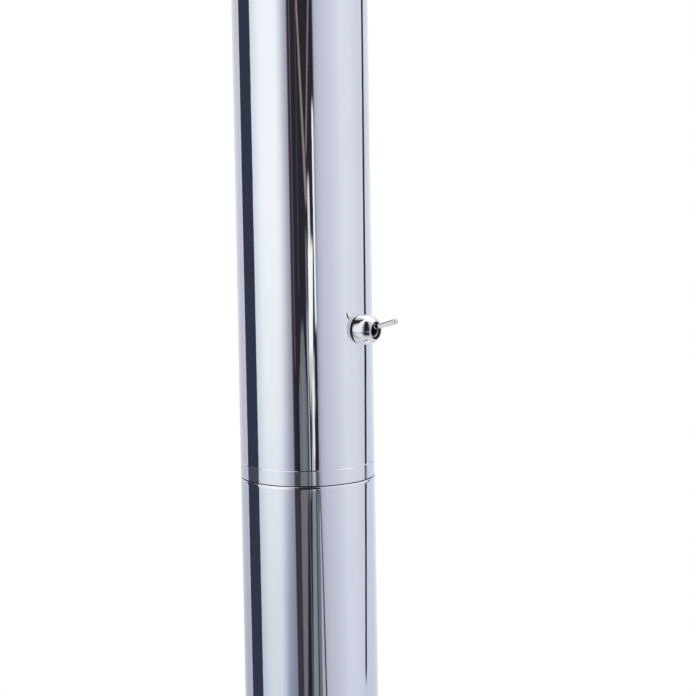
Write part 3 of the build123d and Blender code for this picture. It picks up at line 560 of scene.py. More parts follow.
def make_finishes():
    """Make every finish once, by its record slot."""
    colours = bpy.context.scene.stand_colours
    handling_group()
    grain_group()
    chrome, nickel = list(colours.chrome), list(colours.nickel)
    satin, zinc, iron = list(colours.satin), list(colours.zinc), list(colours.iron)
    rubber = list(colours.rubber)
    made = {}
    for key, maker, *values in (
        ("chrome_plate", plated, chrome, 0.018, 0.02, 0.012, 0.5),
        ("ring_chrome", plated, chrome, 0.075, 0.02, 0.02, 0.5, 0.95),
        # Duller, rougher nickel for the switch bushing, with its colour cut to 0.4 of the plate as painted shade
        # for where it sits inside the dome's mouth.
        ("dull_nickel", plated, [c * 0.4 for c in nickel[:3]] + [1], 0.22, 0.1, 0.05, 0.3),
        ("nickel_plate", plated, nickel, 0.04, 0.03, 0.02, 0.3),
        ("spun_chrome", plated, chrome, 0.03, 0.04, 0.02, 1.0),
        ("satin_steel", grained, satin, 0.34, 0.2, 1500.0, 1.0, 0.00003),
        ("zinc_steel", grained, zinc, 0.36, 0.15, 900.0, 1.0, 0.00003),
        ("black_steel", grained, [0.03, 0.03, 0.032, 1], 0.35, 0.2, 1200.0, 0.6),
        ("aluminium", grained, [0.7, 0.71, 0.72, 1], 0.32, 0.12, 1500.0, 1.0, 0.00003),
        ("spring_brass", grained, list(colours.brass), 0.25, 0.15, 900.0, 1.0, 0.00002),
        ("cast_iron", grained, iron, 0.62, 0.5, 420.0, 0.0, 0.0004, 0.7),
        ("black_rubber", grained, rubber, 0.55, 0.4, 1800.0),
        ("black_plastic", grained, [0.02, 0.02, 0.022, 1], 0.45, 0.3, 1500.0),
        ("switch_moulding", grained, [0.02, 0.035, 0.09, 1], 0.35, 0.2, 2500.0),
        ("cell_jacket", grained, [0.05, 0.055, 0.065, 1], 0.3, 0.15, 600.0, 0.2),
        ("nylon", grained, [0.78, 0.75, 0.66, 1], 0.45, 0.06, 1500.0),
        ("lamp_board_white", grained, [0.8, 0.8, 0.78, 1], 0.3, 0.05, 900.0),
        ("lamp_phosphor", grained, [0.85, 0.7, 0.2, 1], 0.4, 0.1, 2500.0),
        ("opal_lens", opal_finish, list(colours.opal)),
        ("red_wire", grained, [0.4, 0.02, 0.02, 1], 0.35, 0.1, 900.0),
        ("black_wire", grained, [0.015, 0.015, 0.016, 1], 0.35, 0.1, 900.0),
        ("seam_shadow", grained, [0.01, 0.01, 0.014, 1], 0.8, 0.3, 1500.0),
    ):
        made[key] = maker(key.replace("_", " "), *values)
    return made


finishes = {}


# ---- Operators --------------------------------------------------------------------------------
class STAND_OT_finishes(Operator):
    """Make the finishes and give each carried-over node the one its record slot names"""

    bl_idname = "stand.finishes"
    bl_label = "Finishes"

    def execute(self, context):
        finishes.update(make_finishes())
        slots = {part["node"]: part["material_slot"] for part in frame["record"]["subparts"]}
        for node, piece in frame["nodes"].items():
            piece.data.materials.clear()
            piece.data.materials.append(finishes[slots[node]])
        return {"FINISHED"}


class STAND_OT_base(Operator):
    """Spin the chromed base cover and turn the ring where the post meets it"""

    bl_idname = "stand.base"
    bl_label = "Base"

    def execute(self, context):
        sizes = context.scene.stand_sizes
        rim_low = low("base_cover").z
        edge_top = 14.0 * MM
        dish = (68.0 * MM, 22.0 * MM)
        hub = (46.0 * MM, base_top)
        hole = 6.6 * MM
        skin = sizes.skin
        outer = [
            (base_radius, edge_top, 6.8 * MM),
            (dish[0], dish[1], 60.0 * MM),
            (hub[0], hub[1], 6.0 * MM),
        ]
        inner = [
            (hub[0] - skin / 2, hub[1] - skin, 4.8 * MM),
            (dish[0], dish[1] - skin, 60.0 * MM),
            (base_radius - skin, edge_top - skin, 5.6 * MM),
        ]
        corners = [(base_radius, rim_low + 0.6 * MM, 0), *outer, (hole, hub[1], 0)]
        corners += [(hole, hub[1] - skin, 0), *inner, (base_radius - skin, rim_low + 0.6 * MM, 0)]
        corners += [(base_radius - skin / 2, rim_low, 0)]
        cover = turned("base_cover_skin", outline_of(corners), sizes.round_steps)
        place(cover, "stand_base", "spun_chrome", "chrome_plate", "base_cover")

        trim_outer, trim_top = high("base_trim_ring").x, high("base_trim_ring").z
        trim = outline_of(
            [
                (post_radius, base_top, 0),
                (trim_outer, base_top, 0),
                (trim_outer, base_top + 2.4 * MM, 1.0 * MM),
                (post_radius + 3.4 * MM, trim_top - 1.2 * MM, 2.5 * MM),
                (post_radius + 1.6 * MM, trim_top, 0.6 * MM),
                (post_radius, trim_top, 0),
            ]
        )
        ring = turned("base_trim_turned", trim, sizes.round_steps)
        place(ring, "stand_base", "chrome_plate", "chrome_plate", "base_trim_ring")
        return {"FINISHED"}


class STAND_OT_post(Operator):
    """Turn the two post tubes and the flush ring between them"""

    bl_idname = "stand.post"
    bl_label = "Post"

    def execute(self, context):
        sizes = context.scene.stand_sizes
        inside = post_radius - sizes.tube_wall
        gap, edge = sizes.seam_gap, sizes.seam_edge
        near = 1.0 * MM
        hair = 0.05 * MM
        floor_level = low("lower_tube").z
        lower = [
            (inside, floor_level),
            (post_radius, floor_level),
            (post_radius, floor_level + near),
            (post_radius, seam_height - edge - near),
            (post_radius, seam_height - edge),
            (post_radius - edge * 0.25, seam_height - edge * 0.35),
            (post_radius - edge * 0.7, seam_height),
            (inside, seam_height),
            (inside, seam_height - near),
            (inside, floor_level + near),
        ]
        tube = turned("lower_tube_chromed", lower, sizes.round_steps)
        place(tube, "stand_base", "chrome_plate", "chrome_plate", "lower_tube")
        paint_faces(tube, "seam_shadow", lambda p: abs(p.z - seam_height) < hair / 3)

        ring_low = low("joint_ring").z
        ring_inside = post_radius - sizes.tube_wall - hair
        land = post_radius - sizes.groove_depth
        fine = 0.18 * MM
        ring = [
            (ring_inside, ring_low),
            (land, ring_low),
            (land, ring_low + gap),
            (post_radius - fine, ring_low + gap),
            (post_radius, ring_low + gap + fine),
            (post_radius, ring_low + gap + fine + near),
            (post_radius, ring_top - fine * 1.6 - near),
            (post_radius, ring_top - fine * 1.6),
            (post_radius - fine, ring_top),
            (ring_inside, ring_top),
        ]
        band = turned("joint_ring_polished", ring, sizes.round_steps)
        place(band, "upper_post", "ring_chrome", "chrome_plate", "joint_ring")
        slot_top, slot_wall = ring_low + gap + hair, land + hair
        paint_faces(band, "seam_shadow", lambda p: p.z < slot_top and hypot(p.x, p.y) < slot_wall)

        rows = [switch_height - SWITCH_ROW, switch_height + SWITCH_ROW]
        rows += [clamp_height - CLAMP_ROW, clamp_height + CLAMP_ROW]
        upper = [
            (inside, ring_top),
            (post_radius - fine, ring_top),
            (post_radius, ring_top + fine),
            (post_radius, ring_top + fine + near),
            *((post_radius, row) for row in rows),
            (post_radius, tube_top - near),
            (post_radius, tube_top),
            (inside, tube_top),
            (inside, tube_top - near),
            *((inside, row) for row in reversed(rows)),
            (inside, ring_top + near),
        ]
        tube = turned("upper_tube_chromed", upper, sizes.round_steps)
        bored(tube, SWITCH_HOLE, SWITCH_WAY, (0, 0, switch_height))
        bored(tube, STUD_HOLE, CLAMP_WAY, (0, 0, clamp_height))
        place(tube, "upper_post", "chrome_plate", "chrome_plate", "upper_tube")
        return {"FINISHED"}


class STAND_OT_switch(Operator):
    """Make the visible pieces of the toggle switch: seal, dome nut, bushing and lever"""

    bl_idname = "stand.switch"
    bl_label = "Toggle switch"

    def execute(self, context):
        axis_start = Vector((0, 0, switch_height))
        self.make_seal(axis_start)
        self.make_dome(axis_start)
        self.make_bushing(axis_start)
        self.make_lever()
        return {"FINISHED"}

    def make_seal(self, start):
        """Turn the black ring and hollow its back to fit the post."""
        radius = (high("switch_seal").x - low("switch_seal").x) / 2
        face = -low("switch_seal").y
        bore = BUSHING_RADIUS
        round_edge = 0.08 * MM
        outline = outline_of(
            [
                (bore, face, 0),
                (bore, post_radius - 1.6 * MM, 0),
                (radius, post_radius - 1.6 * MM, 0),
                (radius, face, round_edge),
            ]
        )
        seal = turned("switch_seal_ring", outline, 128, SWITCH_WAY, start)
        deselect_all()
        bpy.ops.mesh.primitive_cylinder_add(
            vertices=512, radius=post_radius, depth=40 * MM, location=tuple(start)
        )
        cutter = added("seal_cutter")
        cut_away(seal, cutter)
        place(seal, "upper_post", "black_rubber", "black_rubber", "switch_seal")

    def make_dome(self, start):
        """Turn the domed nut with its open mouth."""
        radius = (high("dome_nut").z - low("dome_nut").z) / 2
        base = -high("dome_nut").y
        rim = -low("dome_nut").y
        middle = post_radius + DOME_CENTRE
        mouth, bore = DOME_MOUTH, BUSHING_RADIUS
        seat = base + DOME_SEAT
        lip = 0.12 * MM
        outline = [(radius - lip, base), (radius, base + lip), (radius, base + 0.7 * MM)]
        outline += arc((0, middle), radius, 0, degrees(asin((rim - lip - middle) / radius)), 36)
        outline += [((outline[-1][0] + mouth) / 2, rim), (mouth, rim - lip)]
        outline += [(mouth, seat), (bore, seat), (bore, base)]
        dome = turned("dome_nut_polished", outline, 160, SWITCH_WAY, start)
        place(dome, "upper_post", "nickel_plate", "nickel_plate", "dome_nut")

    def make_bushing(self, start):
        """Turn the threaded bushing and join the switch's top plate to it."""
        box_low, box_high = low("switch_frame"), high("switch_frame")
        end = -box_low.y
        plate_low = -box_high.y
        plate_top = plate_low + TOP_PLATE
        outer, bore = BUSHING_RADIUS, BUSHING_BORE
        pitch, depth = THREAD_PITCH, 0.25 * MM
        outline = [(bore, plate_top), (outer - depth, plate_top)]
        turns = int((end - 1.2 * MM - plate_top) / pitch)
        for i in range(turns):
            level = plate_top + i * pitch
            outline += [(outer - depth, level + 0.1 * pitch), (outer, level + 0.45 * pitch)]
            outline += [(outer, level + 0.6 * pitch)]
        outline += [(outer - depth, end - 1.1 * MM), (outer, end - 0.8 * MM)]
        outline += [(outer, end - 0.25 * MM), (outer - 0.25 * MM, end)]
        outline += [(bore + 0.4 * MM, end), (bore, end - 0.4 * MM)]
        bushing = turned("switch_bushing_threaded", outline, 96, SWITCH_WAY, start)
        # The bushing takes the darkened nickel: painted shade for its place inside the dome's mouth.
        place(bushing, "upper_post", "dull_nickel", "nickel_plate", "switch_frame")
        # The bore's inner wall is painted black as painted shade inside the hole the lever leaves by.
        hole = bore + 0.05 * MM
        paint_faces(
            bushing,
            "black_plastic",
            lambda p: hypot(p.x, p.z - start.z) < hole and p.y < -plate_top,
        )

        deselect_all()
        bpy.ops.mesh.primitive_cube_add(size=1.0)
        plate = added("switch_top_plate")
        size = box_high - box_low
        plate.scale = (size.x, plate_top - plate_low, size.z)
        plate.location = (0, -(plate_low + plate_top) / 2, start.z)
        settle(plate)
        broken_edges(plate, 0.25 * MM)
        smooth(plate)
        place(plate, "upper_post", "nickel_plate", "nickel_plate")

    def make_lever(self):
        """Turn the lever with its pivot ball and tail, tilted as it rests."""
        tip = Vector((0, low("switch_lever").y, high("switch_lever").z))
        way = Vector((0, -cos(LEVER_TILT), sin(LEVER_TILT)))
        ball, tail, root, end = 2.35 * MM, 0.7 * MM, 1.0 * MM, 1.4 * MM
        outline = [(0, -4.5 * MM), (tail, -4.5 * MM)]
        first, last = -degrees(acos(tail / ball)), degrees(acos(root / ball))
        outline += arc((0, 0), ball, first, last, 24)
        neck = ball * sin(radians(last))
        groove = LEVER_LENGTH - 1.45 * MM
        outline += [(root, neck + 0.3 * MM)]
        outline += [(end - 0.06 * MM, groove - 0.35 * MM), (end - 0.04 * MM, groove - 0.1 * MM)]
        outline += [(end - 0.14 * MM, groove), (end, groove + 0.12 * MM)]
        outline += [(end, LEVER_LENGTH - 0.62 * MM)]
        outline += arc((end - 0.6 * MM, LEVER_LENGTH - 0.6 * MM), 0.6 * MM, 8, 90, 6)
        outline += [(0, LEVER_LENGTH)]
        lever = turned("switch_lever_bat", outline, 64, way, lever_pivot)
        reach = (tip - lever_pivot).length
        if abs(reach - LEVER_LENGTH) > 1.0 * MM:
            raise RuntimeError("the lever no longer fits its place in the frame")
        place(lever, "switch_lever", "nickel_plate", "nickel_plate", "switch_lever")
        ball_end = neck + 0.2 * MM
        paint_faces(lever, "black_steel", lambda p: (p - lever_pivot).dot(way) < ball_end)

        deselect_all()
        pin_reach = high("switch_lever").x - low("switch_lever").x
        bpy.ops.mesh.primitive_cylinder_add(vertices=48, radius=PIN_RADIUS, depth=pin_reach)
        pin = added("switch_lever_pin")
        pin.matrix_world = Matrix.Translation(lever_pivot) @ Matrix.Rotation(pi / 2, 4, "Y")
        settle(pin)
        broken_edges(pin, 0.06 * MM, 2)
        smooth(pin)
        place(pin, "switch_lever", "satin_steel", "nickel_plate")


class STAND_OT_head(Operator):
    """Turn the collar, the opal lens, the socket and the ring round its mouth"""

    bl_idname = "stand.head"
    bl_label = "Head"

    def execute(self, context):
        steps = context.scene.stand_sizes.round_steps
        collar_radius = high("top_collar").x
        collar_low, collar_top = low("top_collar").z, high("top_collar").z
        stack = high("light_lens").x + 0.3 * MM
        lip = stack - 2.4 * MM
        skirt = post_radius + 0.05 * MM
        line = collar_low + 21.0 * MM
        corners = [
            (skirt, collar_low, 0),
            (collar_radius, collar_low, 1.0 * MM),
            (collar_radius, line, 0),
            (collar_radius - 0.5 * MM, line + 0.5 * MM, 0),
            (collar_radius - 0.5 * MM, line + 1.3 * MM, 0),
            (collar_radius, line + 1.8 * MM, 0),
            (collar_radius, collar_top, 1.8 * MM),
            (lip, collar_top, 0.5 * MM),
            (lip, lens_top, 0),
            (stack, lens_top, 0),
            (stack, tube_top, 0),
            (skirt, tube_top, 0),
        ]
        collar = turned("top_collar_chromed", outline_of(corners), steps, edge=0.12 * MM, segments=2)
        bored(collar, STUD_HOLE, CLAMP_WAY, (0, 0, clamp_height))
        for turn in SET_SCREW_TURNS:
            way = Vector((cos(radians(turn)), sin(radians(turn)), 0))
            bored(collar, SET_SCREW_HOLE, way, (0, 0, collar_low + SET_SCREW_RISE))
        place(collar, "upper_post", "chrome_plate", "chrome_plate", "top_collar")

        lens_radius, lens_low = high("light_lens").x, low("light_lens").z
        inner = socket_outer + 0.3 * MM
        corners = [
            (lens_radius, lens_low, 0),
            (lens_radius, lens_top, 0.4 * MM),
            (inner, lens_top, 0.4 * MM),
            (inner, lens_top - 3.0 * MM, 0),
            (lens_radius - 1.6 * MM, lens_top - 3.0 * MM, 0.5 * MM),
            (lens_radius - 1.6 * MM, lens_low, 0),
        ]
        lens = turned("light_lens_opal", outline_of(corners), steps)
        place(lens, "upper_post", "opal_lens", "opal_lens", "light_lens")

        sleeve_low = low("socket_sleeve").z
        corners = [
            (socket_radius + SEAT_STEP, sleeve_low, 0),
            (socket_outer, sleeve_low, 0),
            (socket_outer, clamp_height - CLAMP_ROW, 0),
            (socket_outer, clamp_height + CLAMP_ROW, 0),
            (socket_outer, mouth_top, 0),
            (socket_radius, mouth_top, 0.9 * MM),
            (socket_radius, clamp_height + CLAMP_ROW, 0),
            (socket_radius, clamp_height - CLAMP_ROW, 0),
            (socket_radius, high("pole_rest").z, 0),
            (socket_radius + SEAT_STEP, high("pole_rest").z, 0),
        ]
        sleeve = turned("socket_sleeve_drawn", outline_of(corners), steps)
        bored(sleeve, SLEEVE_HOLE, CLAMP_WAY, (0, 0, clamp_height))
        place(sleeve, "upper_post", "satin_steel", "satin_steel", "socket_sleeve")

        ring_radius, ring_low = high("mouth_ring").x, low("mouth_ring").z
        corners = [
            (socket_outer, ring_low, 0),
            (ring_radius, ring_low, 0),
            (ring_radius, mouth_top, 1.4 * MM),
            (socket_outer, mouth_top, 0.3 * MM),
        ]
        ring = turned("mouth_ring_polished", outline_of(corners), steps)
        place(ring, "upper_post", "chrome_plate", "chrome_plate", "mouth_ring")
        return {"FINISHED"}


class STAND_OT_clamp(Operator):
    """Make the clamp screw's fluted knob and threaded stud"""

    bl_idname = "stand.clamp"
    bl_label = "Clamp screw"

    def execute(self, context):
        start = Vector((0, 0, clamp_height))
        sizes = context.scene.stand_sizes
        knob_start, knob_end = low("clamp_knob").y, high("clamp_knob").y
        knob_radius = high("clamp_knob").z - clamp_height
        neck = 6.5 * MM
        grip = knob_start + 3.0 * MM
        corners = [
            (STUD_RADIUS, knob_start, 0),
            (neck, knob_start, 0.4 * MM),
            (neck, grip, 0),
            (knob_radius, grip, 1.0 * MM),
            (knob_radius, knob_end, 1.4 * MM),
            (knob_radius * 0.62, knob_end, 0.4 * MM),
            (knob_radius * 0.58, knob_end - 0.5 * MM, 0.3 * MM),
            (0, knob_end - 0.5 * MM, 0),
            (0, knob_end - 3.0 * MM, 0),
            (STUD_RADIUS, knob_end - 3.0 * MM, 0),
        ]
        knob = turned("clamp_knob_fluted", outline_of(corners), KNOB_FLUTES * 10, CLAMP_WAY, start)
        for vertex in knob.data.vertices:
            out = Vector((vertex.co.x, 0, vertex.co.z - clamp_height))
            if out.length < knob_radius * 0.8 or vertex.co.y < grip + 0.1 * MM:
                continue
            turn = atan2(out.z, out.x)
            dip = max(0.0, cos(KNOB_FLUTES * turn)) ** 2
            share = (out.length - knob_radius * 0.8) / (knob_radius * 0.2)
            out *= 1 - sizes.knurl_depth * dip * share / out.length
            vertex.co = (out.x, vertex.co.y, clamp_height + out.z)
        smooth(knob, 40)
        place(knob, "clamp_screw", "chrome_plate", "chrome_plate", "clamp_knob")

        pitch, depth = STUD_PITCH, 0.6 * MM
        stud_start, stud_end = low("clamp_stud").y, high("clamp_stud").y
        outline = [(0, stud_start), (STUD_RADIUS - depth, stud_start)]
        for i in range(int((stud_end - stud_start - 0.4 * MM) / pitch)):
            level = stud_start + 0.2 * MM + i * pitch
            crest = [(STUD_RADIUS, level + 0.42 * pitch), (STUD_RADIUS, level + 0.58 * pitch)]
            outline += [(STUD_RADIUS - depth, level), *crest]
        outline += [(STUD_RADIUS - depth, stud_end), (0, stud_end)]
        rod = turned("clamp_stud_threaded", outline, 96, CLAMP_WAY, start)
        place(rod, "clamp_screw", "zinc_steel", "zinc_steel", "clamp_stud")
        return {"FINISHED"}


# ---- Studio -----------------------------------------------------------------------------------
# Brightness round the studio, by bearing in degrees from the camera, positive to its right.
STUDIO_BANDS = (
    (-180, (1.00, 1.00, 1.00)),
    (-155, (0.69, 0.70, 0.78)),
    (-137, (0.57, 0.58, 0.67)),
    (-110, (0.62, 0.65, 0.75)),
    (-97, (0.70, 0.755, 0.845)),
    (-90, (0.71, 0.765, 0.85)),
    (-83, (0.80, 0.855, 0.90)),
    (-76, (0.885, 0.935, 0.975)),
    (-68, (0.92, 0.965, 0.995)),
    (-46, (0.92, 0.965, 0.995)),
    (-41, (0.865, 0.89, 0.96)),
    (-36, (0.715, 0.735, 0.81)),
    (-31, (0.53, 0.55, 0.635)),
    (-26, (0.37, 0.38, 0.45)),
    (-23.8, (0.34, 0.35, 0.42)),
    (-22.3, (0.045, 0.030, 0.050)),
    (-17, (0.024, 0.022, 0.032)),
    (20.3, (0.022, 0.021, 0.030)),
    (21.8, (0.42, 0.44, 0.53)),
    (26, (0.48, 0.50, 0.59)),
    (31, (0.545, 0.56, 0.67)),
    (47, (0.605, 0.63, 0.735)),
    (71, (0.735, 0.77, 0.875)),
    (92, (0.72, 0.75, 0.86)),
    (112, (0.65, 0.685, 0.785)),
    (138, (0.645, 0.685, 0.80)),
    (156, (0.76, 0.80, 0.90)),
)

# How much of red, green and blue the walls lose together where they fall darker below.
DIMMING = (-1.0, -0.93, -0.74)
STRIP_SOFTNESS = 0.7
STRIP_FADE = 0.003

# Strips of light and dark over the bands, each from its upper end to its lower end.
# An end is (rise of the ray, left bearing, right bearing).
WHITE = (0.98, 0.99, 1.00)
NAVY = (0.033, 0.040, 0.068)
SLATE = (0.150, 0.165, 0.190)
STUDIO_STRIPS = (
    ((0.600, -139.0, -100.0), (-0.400, -120.5, -91.5), NAVY),
    ((0.200, 144.5, 152.0), (-0.153, 119.4, 126.6), (0.022, 0.028, 0.048)),
    ((-0.147, 119.8, 127.0), (-0.238, 107.0, 112.0), (0.022, 0.028, 0.045)),
    ((0.200, -19.2, -17.2), (-0.150, -19.2, -17.2), (0.100, 0.080, 0.105)),
    ((-0.020, -12.0, -10.0), (-0.104, 3.2, 7.2), (0.260, 0.215, 0.195)),
    ((-0.040, 13.8, 16.4), (-0.090, 4.8, 7.2), (0.200, 0.180, 0.200)),
    ((0.100, -6.0, -4.0), (-0.130, -11.0, -9.0), (0.050, 0.045, 0.055)),
    ((-0.080, 19.4, 22.4), (-0.187, 19.4, 22.4), (0.340, 0.360, 0.430)),
    ((-0.076, 16.6, 19.2), (-0.139, 16.6, 19.2), WHITE),
    ((-0.097, 7.6, 10.6), (-0.118, 7.2, 11.4), (0.72, 0.74, 0.76)),
    ((-0.112, 2.0, 5.0), (-0.150, 1.8, 5.0), (0.130, 0.140, 0.150)),
    ((-0.115, 6.8, 14.8), (-0.150, 5.5, 12.0), WHITE),
    ((-0.147, 5.2, 14.4), (-0.163, 6.5, 14.6), (0.60, 0.61, 0.64)),
    ((-0.160, 8.3, 13.6), (-0.186, 7.4, 12.6), (0.50, 0.51, 0.54)),
    ((-0.153, 10.6, 12.8), (-0.176, 10.2, 12.6), (0.95, 0.96, 0.98)),
    ((-0.157, 7.6, 9.0), (-0.172, 7.6, 9.0), (0.100, 0.105, 0.120)),
    ((-0.135, 2.6, 4.0), (-0.186, 3.2, 5.0), (0.45, 0.47, 0.49)),
    ((-0.139, -7.5, -3.0), (-0.158, -12.2, 0.5), SLATE),
    ((-0.156, -12.4, 0.8), (-0.187, -12.8, 0.8), SLATE),
    ((-0.150, -7.5, -3.5), (-0.187, -7.5, -3.5), (0.185, 0.200, 0.225)),
    ((-0.184, -22.4, -12.4), (-0.250, -22.4, -12.4), (0.044, 0.040, 0.054)),
    ((-0.185, -12.5, -0.5), (-0.250, -12.8, -7.0), (0.165, 0.158, 0.185)),
    ((-0.185, 1.2, 3.0), (-0.250, 1.2, 4.0), (0.085, 0.090, 0.115)),
    ((-0.185, 7.0, 13.3), (-0.250, 3.6, 11.6), (0.225, 0.245, 0.285)),
    ((-0.185, 13.3, 21.6), (-0.250, 11.6, 27.5), SLATE),
    ((-0.185, 13.4, 14.6), (-0.250, 12.0, 14.2), (0.040, 0.045, 0.060)),
    ((-0.192, 18.9, 20.6), (-0.250, 19.5, 24.4), (0.42, 0.45, 0.53)),
    ((-0.193, 20.9, 22.3), (-0.250, 25.6, 27.4), (0.050, 0.057, 0.080)),
)


class STAND_OT_stage(Operator):
    """Lay the floor, light the studio and set the camera"""

    bl_idname = "stand.stage"
    bl_label = "Stage"

    def execute(self, context):
        studio = context.scene.stand_studio
        self.lay_floor(studio)
        self.light_studio(context.scene, studio)
        self.set_camera(context.scene, studio)
        context.scene.view_settings.view_transform = "Standard"
        context.scene.view_settings.look = "None"
        return {"FINISHED"}

    def lay_floor(self, studio):
        """Add the round pale floor."""
        deselect_all()
        bpy.ops.mesh.primitive_circle_add(vertices=128, radius=studio.floor_radius, fill_type="NGON")
        floor = added("studio_floor")
        settle(floor)
        material, tree, bsdf = shader("studio floor")
        where = tree.nodes.new("ShaderNodeTexCoord").outputs["Object"]
        tone = remap(tree, noise(tree, where, 3.0), 0.3, 0.7, 0.9, 0.92)
        colour = tree.nodes.new("ShaderNodeCombineColor")
        for socket in colour.inputs[:3]:
            tree.links.new(tone, socket)
        tree.links.new(colour.outputs["Color"], bsdf.inputs["Base Color"])
        fill(bsdf, {"Roughness": 0.7, "Specular IOR Level": 0.1})
        span = vector_node(tree, "LENGTH", where).outputs["Value"]
        near = remap(tree, span, studio.floor_radius * 0.35, studio.floor_radius * 0.95, 1.0, 0.0)
        tree.links.new(near, bsdf.inputs["Alpha"])
        floor.data.materials.append(material)

    def light_studio(self, scene, studio):
        """Paint the studio's walls and ceiling as bands of light round the object."""
        world = bpy.data.worlds.new("studio")
        scene.world = world
        world.use_nodes = True
        tree = world.node_tree
        tree.nodes.clear()
        where = tree.nodes.new("ShaderNodeTexCoord").outputs["Generated"]
        parts = tree.nodes.new("ShaderNodeSeparateXYZ")
        tree.links.new(where, parts.inputs["Vector"])
        ahead = math_node(tree, "MULTIPLY", parts.outputs["Y"], -1.0)
        bearing = math_node(tree, "ARCTAN2", parts.outputs["X"], ahead)
        turned_by = math_node(tree, "SUBTRACT", bearing, studio.camera_bearing)
        turns = math_node(tree, "DIVIDE", turned_by, 2 * pi)
        wrapped = math_node(tree, "FRACT", math_node(tree, "ADD", turns, 0.5))
        ramp = tree.nodes.new("ShaderNodeValToRGB")
        tree.links.new(wrapped, ramp.inputs["Fac"])
        stops = ramp.color_ramp.elements
        for i, (heading, tone) in enumerate(STUDIO_BANDS):
            share = (heading + 180) / 360
            stop = stops[0] if i == 0 else stops.new(share)
            stop.position = share
            stop.color = (*tone, 1)
        stops[len(stops) - 1].position = 1.0
        stops[len(stops) - 1].color = (*STUDIO_BANDS[0][1], 1)
        rise = parts.outputs["Z"]
        degrees_out = math_node(tree, "MULTIPLY", math_node(tree, "SUBTRACT", wrapped, 0.5), 360.0)
        drop = math_node(
            tree,
            "MULTIPLY",
            remap(tree, rise, -0.30, -0.09, 0.34, 0.0),
            remap(tree, rise, -0.45, -0.28, 0.3, 1.0),
        )
        side = remap(tree, degrees_out, -25.0, 20.0, 1.0, 0.36)
        from_fold = math_node(tree, "ABSOLUTE", math_node(tree, "ADD", degrees_out, 36.0))
        fold = remap(tree, from_fold, 0.0, 18.0, 1.2, 0.0)
        lost = math_node(tree, "MULTIPLY", drop, math_node(tree, "ADD", side, fold))
        dimmed = vector_node(tree, "SCALE", DIMMING)
        tree.links.new(lost, dimmed.inputs["Scale"])
        kept = vector_node(tree, "ADD", dimmed.outputs[0], (1.0, 1.0, 1.0))
        colour = vector_node(tree, "MULTIPLY", ramp.outputs["Color"], kept.outputs[0]).outputs[0]
        shiver = noise(tree, where, 260.0, 1.0, 0.5, (0.02, 0.02, 1))
        jittered = math_node(tree, "ADD", degrees_out, math_node(tree, "SUBTRACT", shiver, 0.5))
        for top, bottom, tone in STUDIO_STRIPS:
            colour = self.strip(tree, colour, jittered, rise, top, bottom, tone)
        ahead_of = math_node(
            tree,
            "ADD",
            math_node(tree, "MULTIPLY", parts.outputs["X"], sin(studio.camera_bearing)),
            math_node(tree, "MULTIPLY", ahead, cos(studio.camera_bearing)),
        )
        high_up = remap(tree, rise, 0.45, 0.75, 0.0, 1.0)
        not_ahead = remap(tree, ahead_of, 0.12, 0.35, 1.0, 0.0)
        overhead = math_node(tree, "MULTIPLY", high_up, not_ahead)
        walls, ceiling, backdrop = (tree.nodes.new("ShaderNodeBackground") for _ in range(3))
        tree.links.new(colour, walls.inputs["Color"])
        fill(ceiling, {"Strength": studio.ceiling})
        fill(backdrop, {"Color": (1, 1, 1, 1)})
        room = self.either(tree, overhead, walls, ceiling)
        direct = tree.nodes.new("ShaderNodeLightPath").outputs["Is Camera Ray"]
        seen = self.either(tree, direct, room, backdrop)
        out = tree.nodes.new("ShaderNodeOutputWorld")
        tree.links.new(seen.outputs[0], out.inputs["Surface"])

    def either(self, tree, share, first, second):
        """Mix two lights by a share."""
        node = tree.nodes.new("ShaderNodeMixShader")
        tree.links.new(share, node.inputs["Fac"])
        tree.links.new(first.outputs[0], node.inputs[1])
        tree.links.new(second.outputs[0], node.inputs[2])
        return node

    def strip(self, tree, colour, bearing, rise, top, bottom, tone):
        """Lay one strip over the colour so far, between its left and right bearings."""

        def edge(first, last):
            line = remap(tree, rise, top[0], bottom[0], first, last, "LINEAR")
            return math_node(tree, "SUBTRACT", bearing, line)

        soft, fade = STRIP_SOFTNESS, STRIP_FADE
        mask = math_node(
            tree,
            "MULTIPLY",
            remap(tree, edge(top[1], bottom[1]), -soft, soft, 0.0, 1.0),
            remap(tree, edge(top[2], bottom[2]), -soft, soft, 1.0, 0.0),
        )
        for low_end, high_end, first, last in (
            (top[0] - fade, top[0] + fade, 1.0, 0.0),
            (bottom[0] - fade, bottom[0] + fade, 0.0, 1.0),
        ):
            mask = math_node(tree, "MULTIPLY", mask, remap(tree, rise, low_end, high_end, first, last))
        return blend(tree, mask, colour, (*tone, 1))

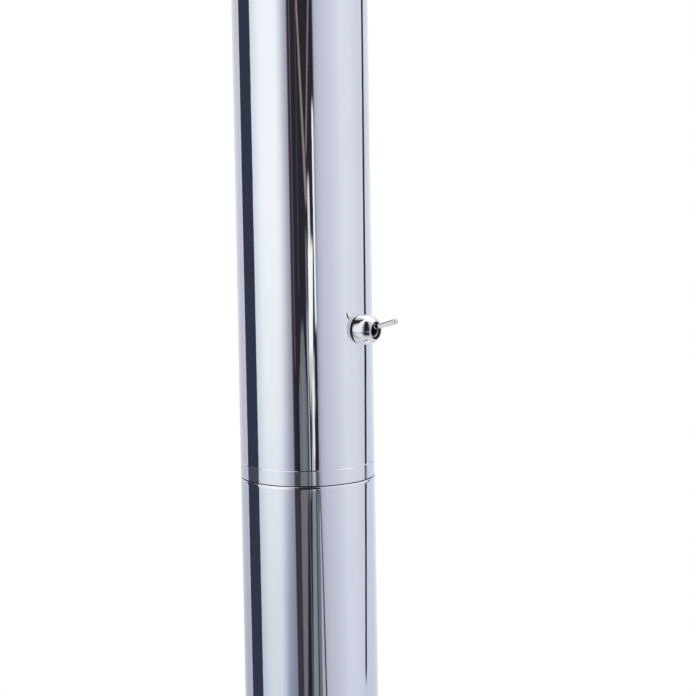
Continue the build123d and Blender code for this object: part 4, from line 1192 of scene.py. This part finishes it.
    def set_camera(self, scene, studio):
        """Add the camera, a long lens that looks slightly down at the switch and the joint."""
        bearing = studio.camera_bearing
        reach, height = studio.camera_reach, studio.camera_height
        place_of = Vector((sin(bearing) * reach, -cos(bearing) * reach, height))
        look = bearing - studio.camera_turn
        pitch = studio.camera_pitch
        way = Vector((-sin(look) * cos(pitch), cos(look) * cos(pitch), -sin(pitch)))
        bpy.ops.object.camera_add(location=place_of)
        camera = bpy.context.object
        camera.name = "studio_camera"
        camera.rotation_mode = "QUATERNION"
        camera.data.lens = studio.lens
        camera.data.sensor_width = 36.0
        camera.data.dof.use_dof = False
        camera.rotation_quaternion = (
            way.to_track_quat("-Z", "Y").to_matrix() @ Matrix.Rotation(-studio.camera_roll, 3, "Z")
        ).to_quaternion()
        scene.camera = camera


class STAND_PT_panel(Panel):
    """The stand's panel in the sidebar"""

    bl_label = "Flag Pole Stand"
    bl_idname = "STAND_PT_panel"
    bl_space_type = "VIEW_3D"
    bl_region_type = "UI"
    bl_category = "Stand"

    def draw(self, context):
        for operator in OPERATORS:
            self.layout.operator(operator.bl_idname)
        scene = context.scene
        for settings in (scene.stand_sizes, scene.stand_colours, scene.stand_studio):
            for name in settings.__annotations__:
                self.layout.prop(settings, name)


OPERATORS = (
    STAND_OT_finishes,
    STAND_OT_base,
    STAND_OT_post,
    STAND_OT_switch,
    STAND_OT_head,
    STAND_OT_clamp,
    STAND_OT_stage,
)
CLASSES = (StandSizes, StandColours, StudioSettings, *OPERATORS, STAND_PT_panel)


def register():
    """Register the classes and the scene's settings."""
    for cls in CLASSES:
        bpy.utils.register_class(cls)
    bpy.types.Scene.stand_sizes = PointerProperty(type=StandSizes)
    bpy.types.Scene.stand_colours = PointerProperty(type=StandColours)
    bpy.types.Scene.stand_studio = PointerProperty(type=StudioSettings)


def unregister():
    """Remove what register added."""
    del bpy.types.Scene.stand_studio
    del bpy.types.Scene.stand_colours
    del bpy.types.Scene.stand_sizes
    for cls in reversed(CLASSES):
        bpy.utils.unregister_class(cls)


def main():
    """Build everything in order."""
    register()
    bpy.ops.stand.finishes()
    bpy.ops.stand.base()
    bpy.ops.stand.post()
    bpy.ops.stand.switch()
    bpy.ops.stand.head()
    bpy.ops.stand.clamp()
    bpy.ops.stand.stage()
    deselect_all()


if __name__ == "__main__":
    main()
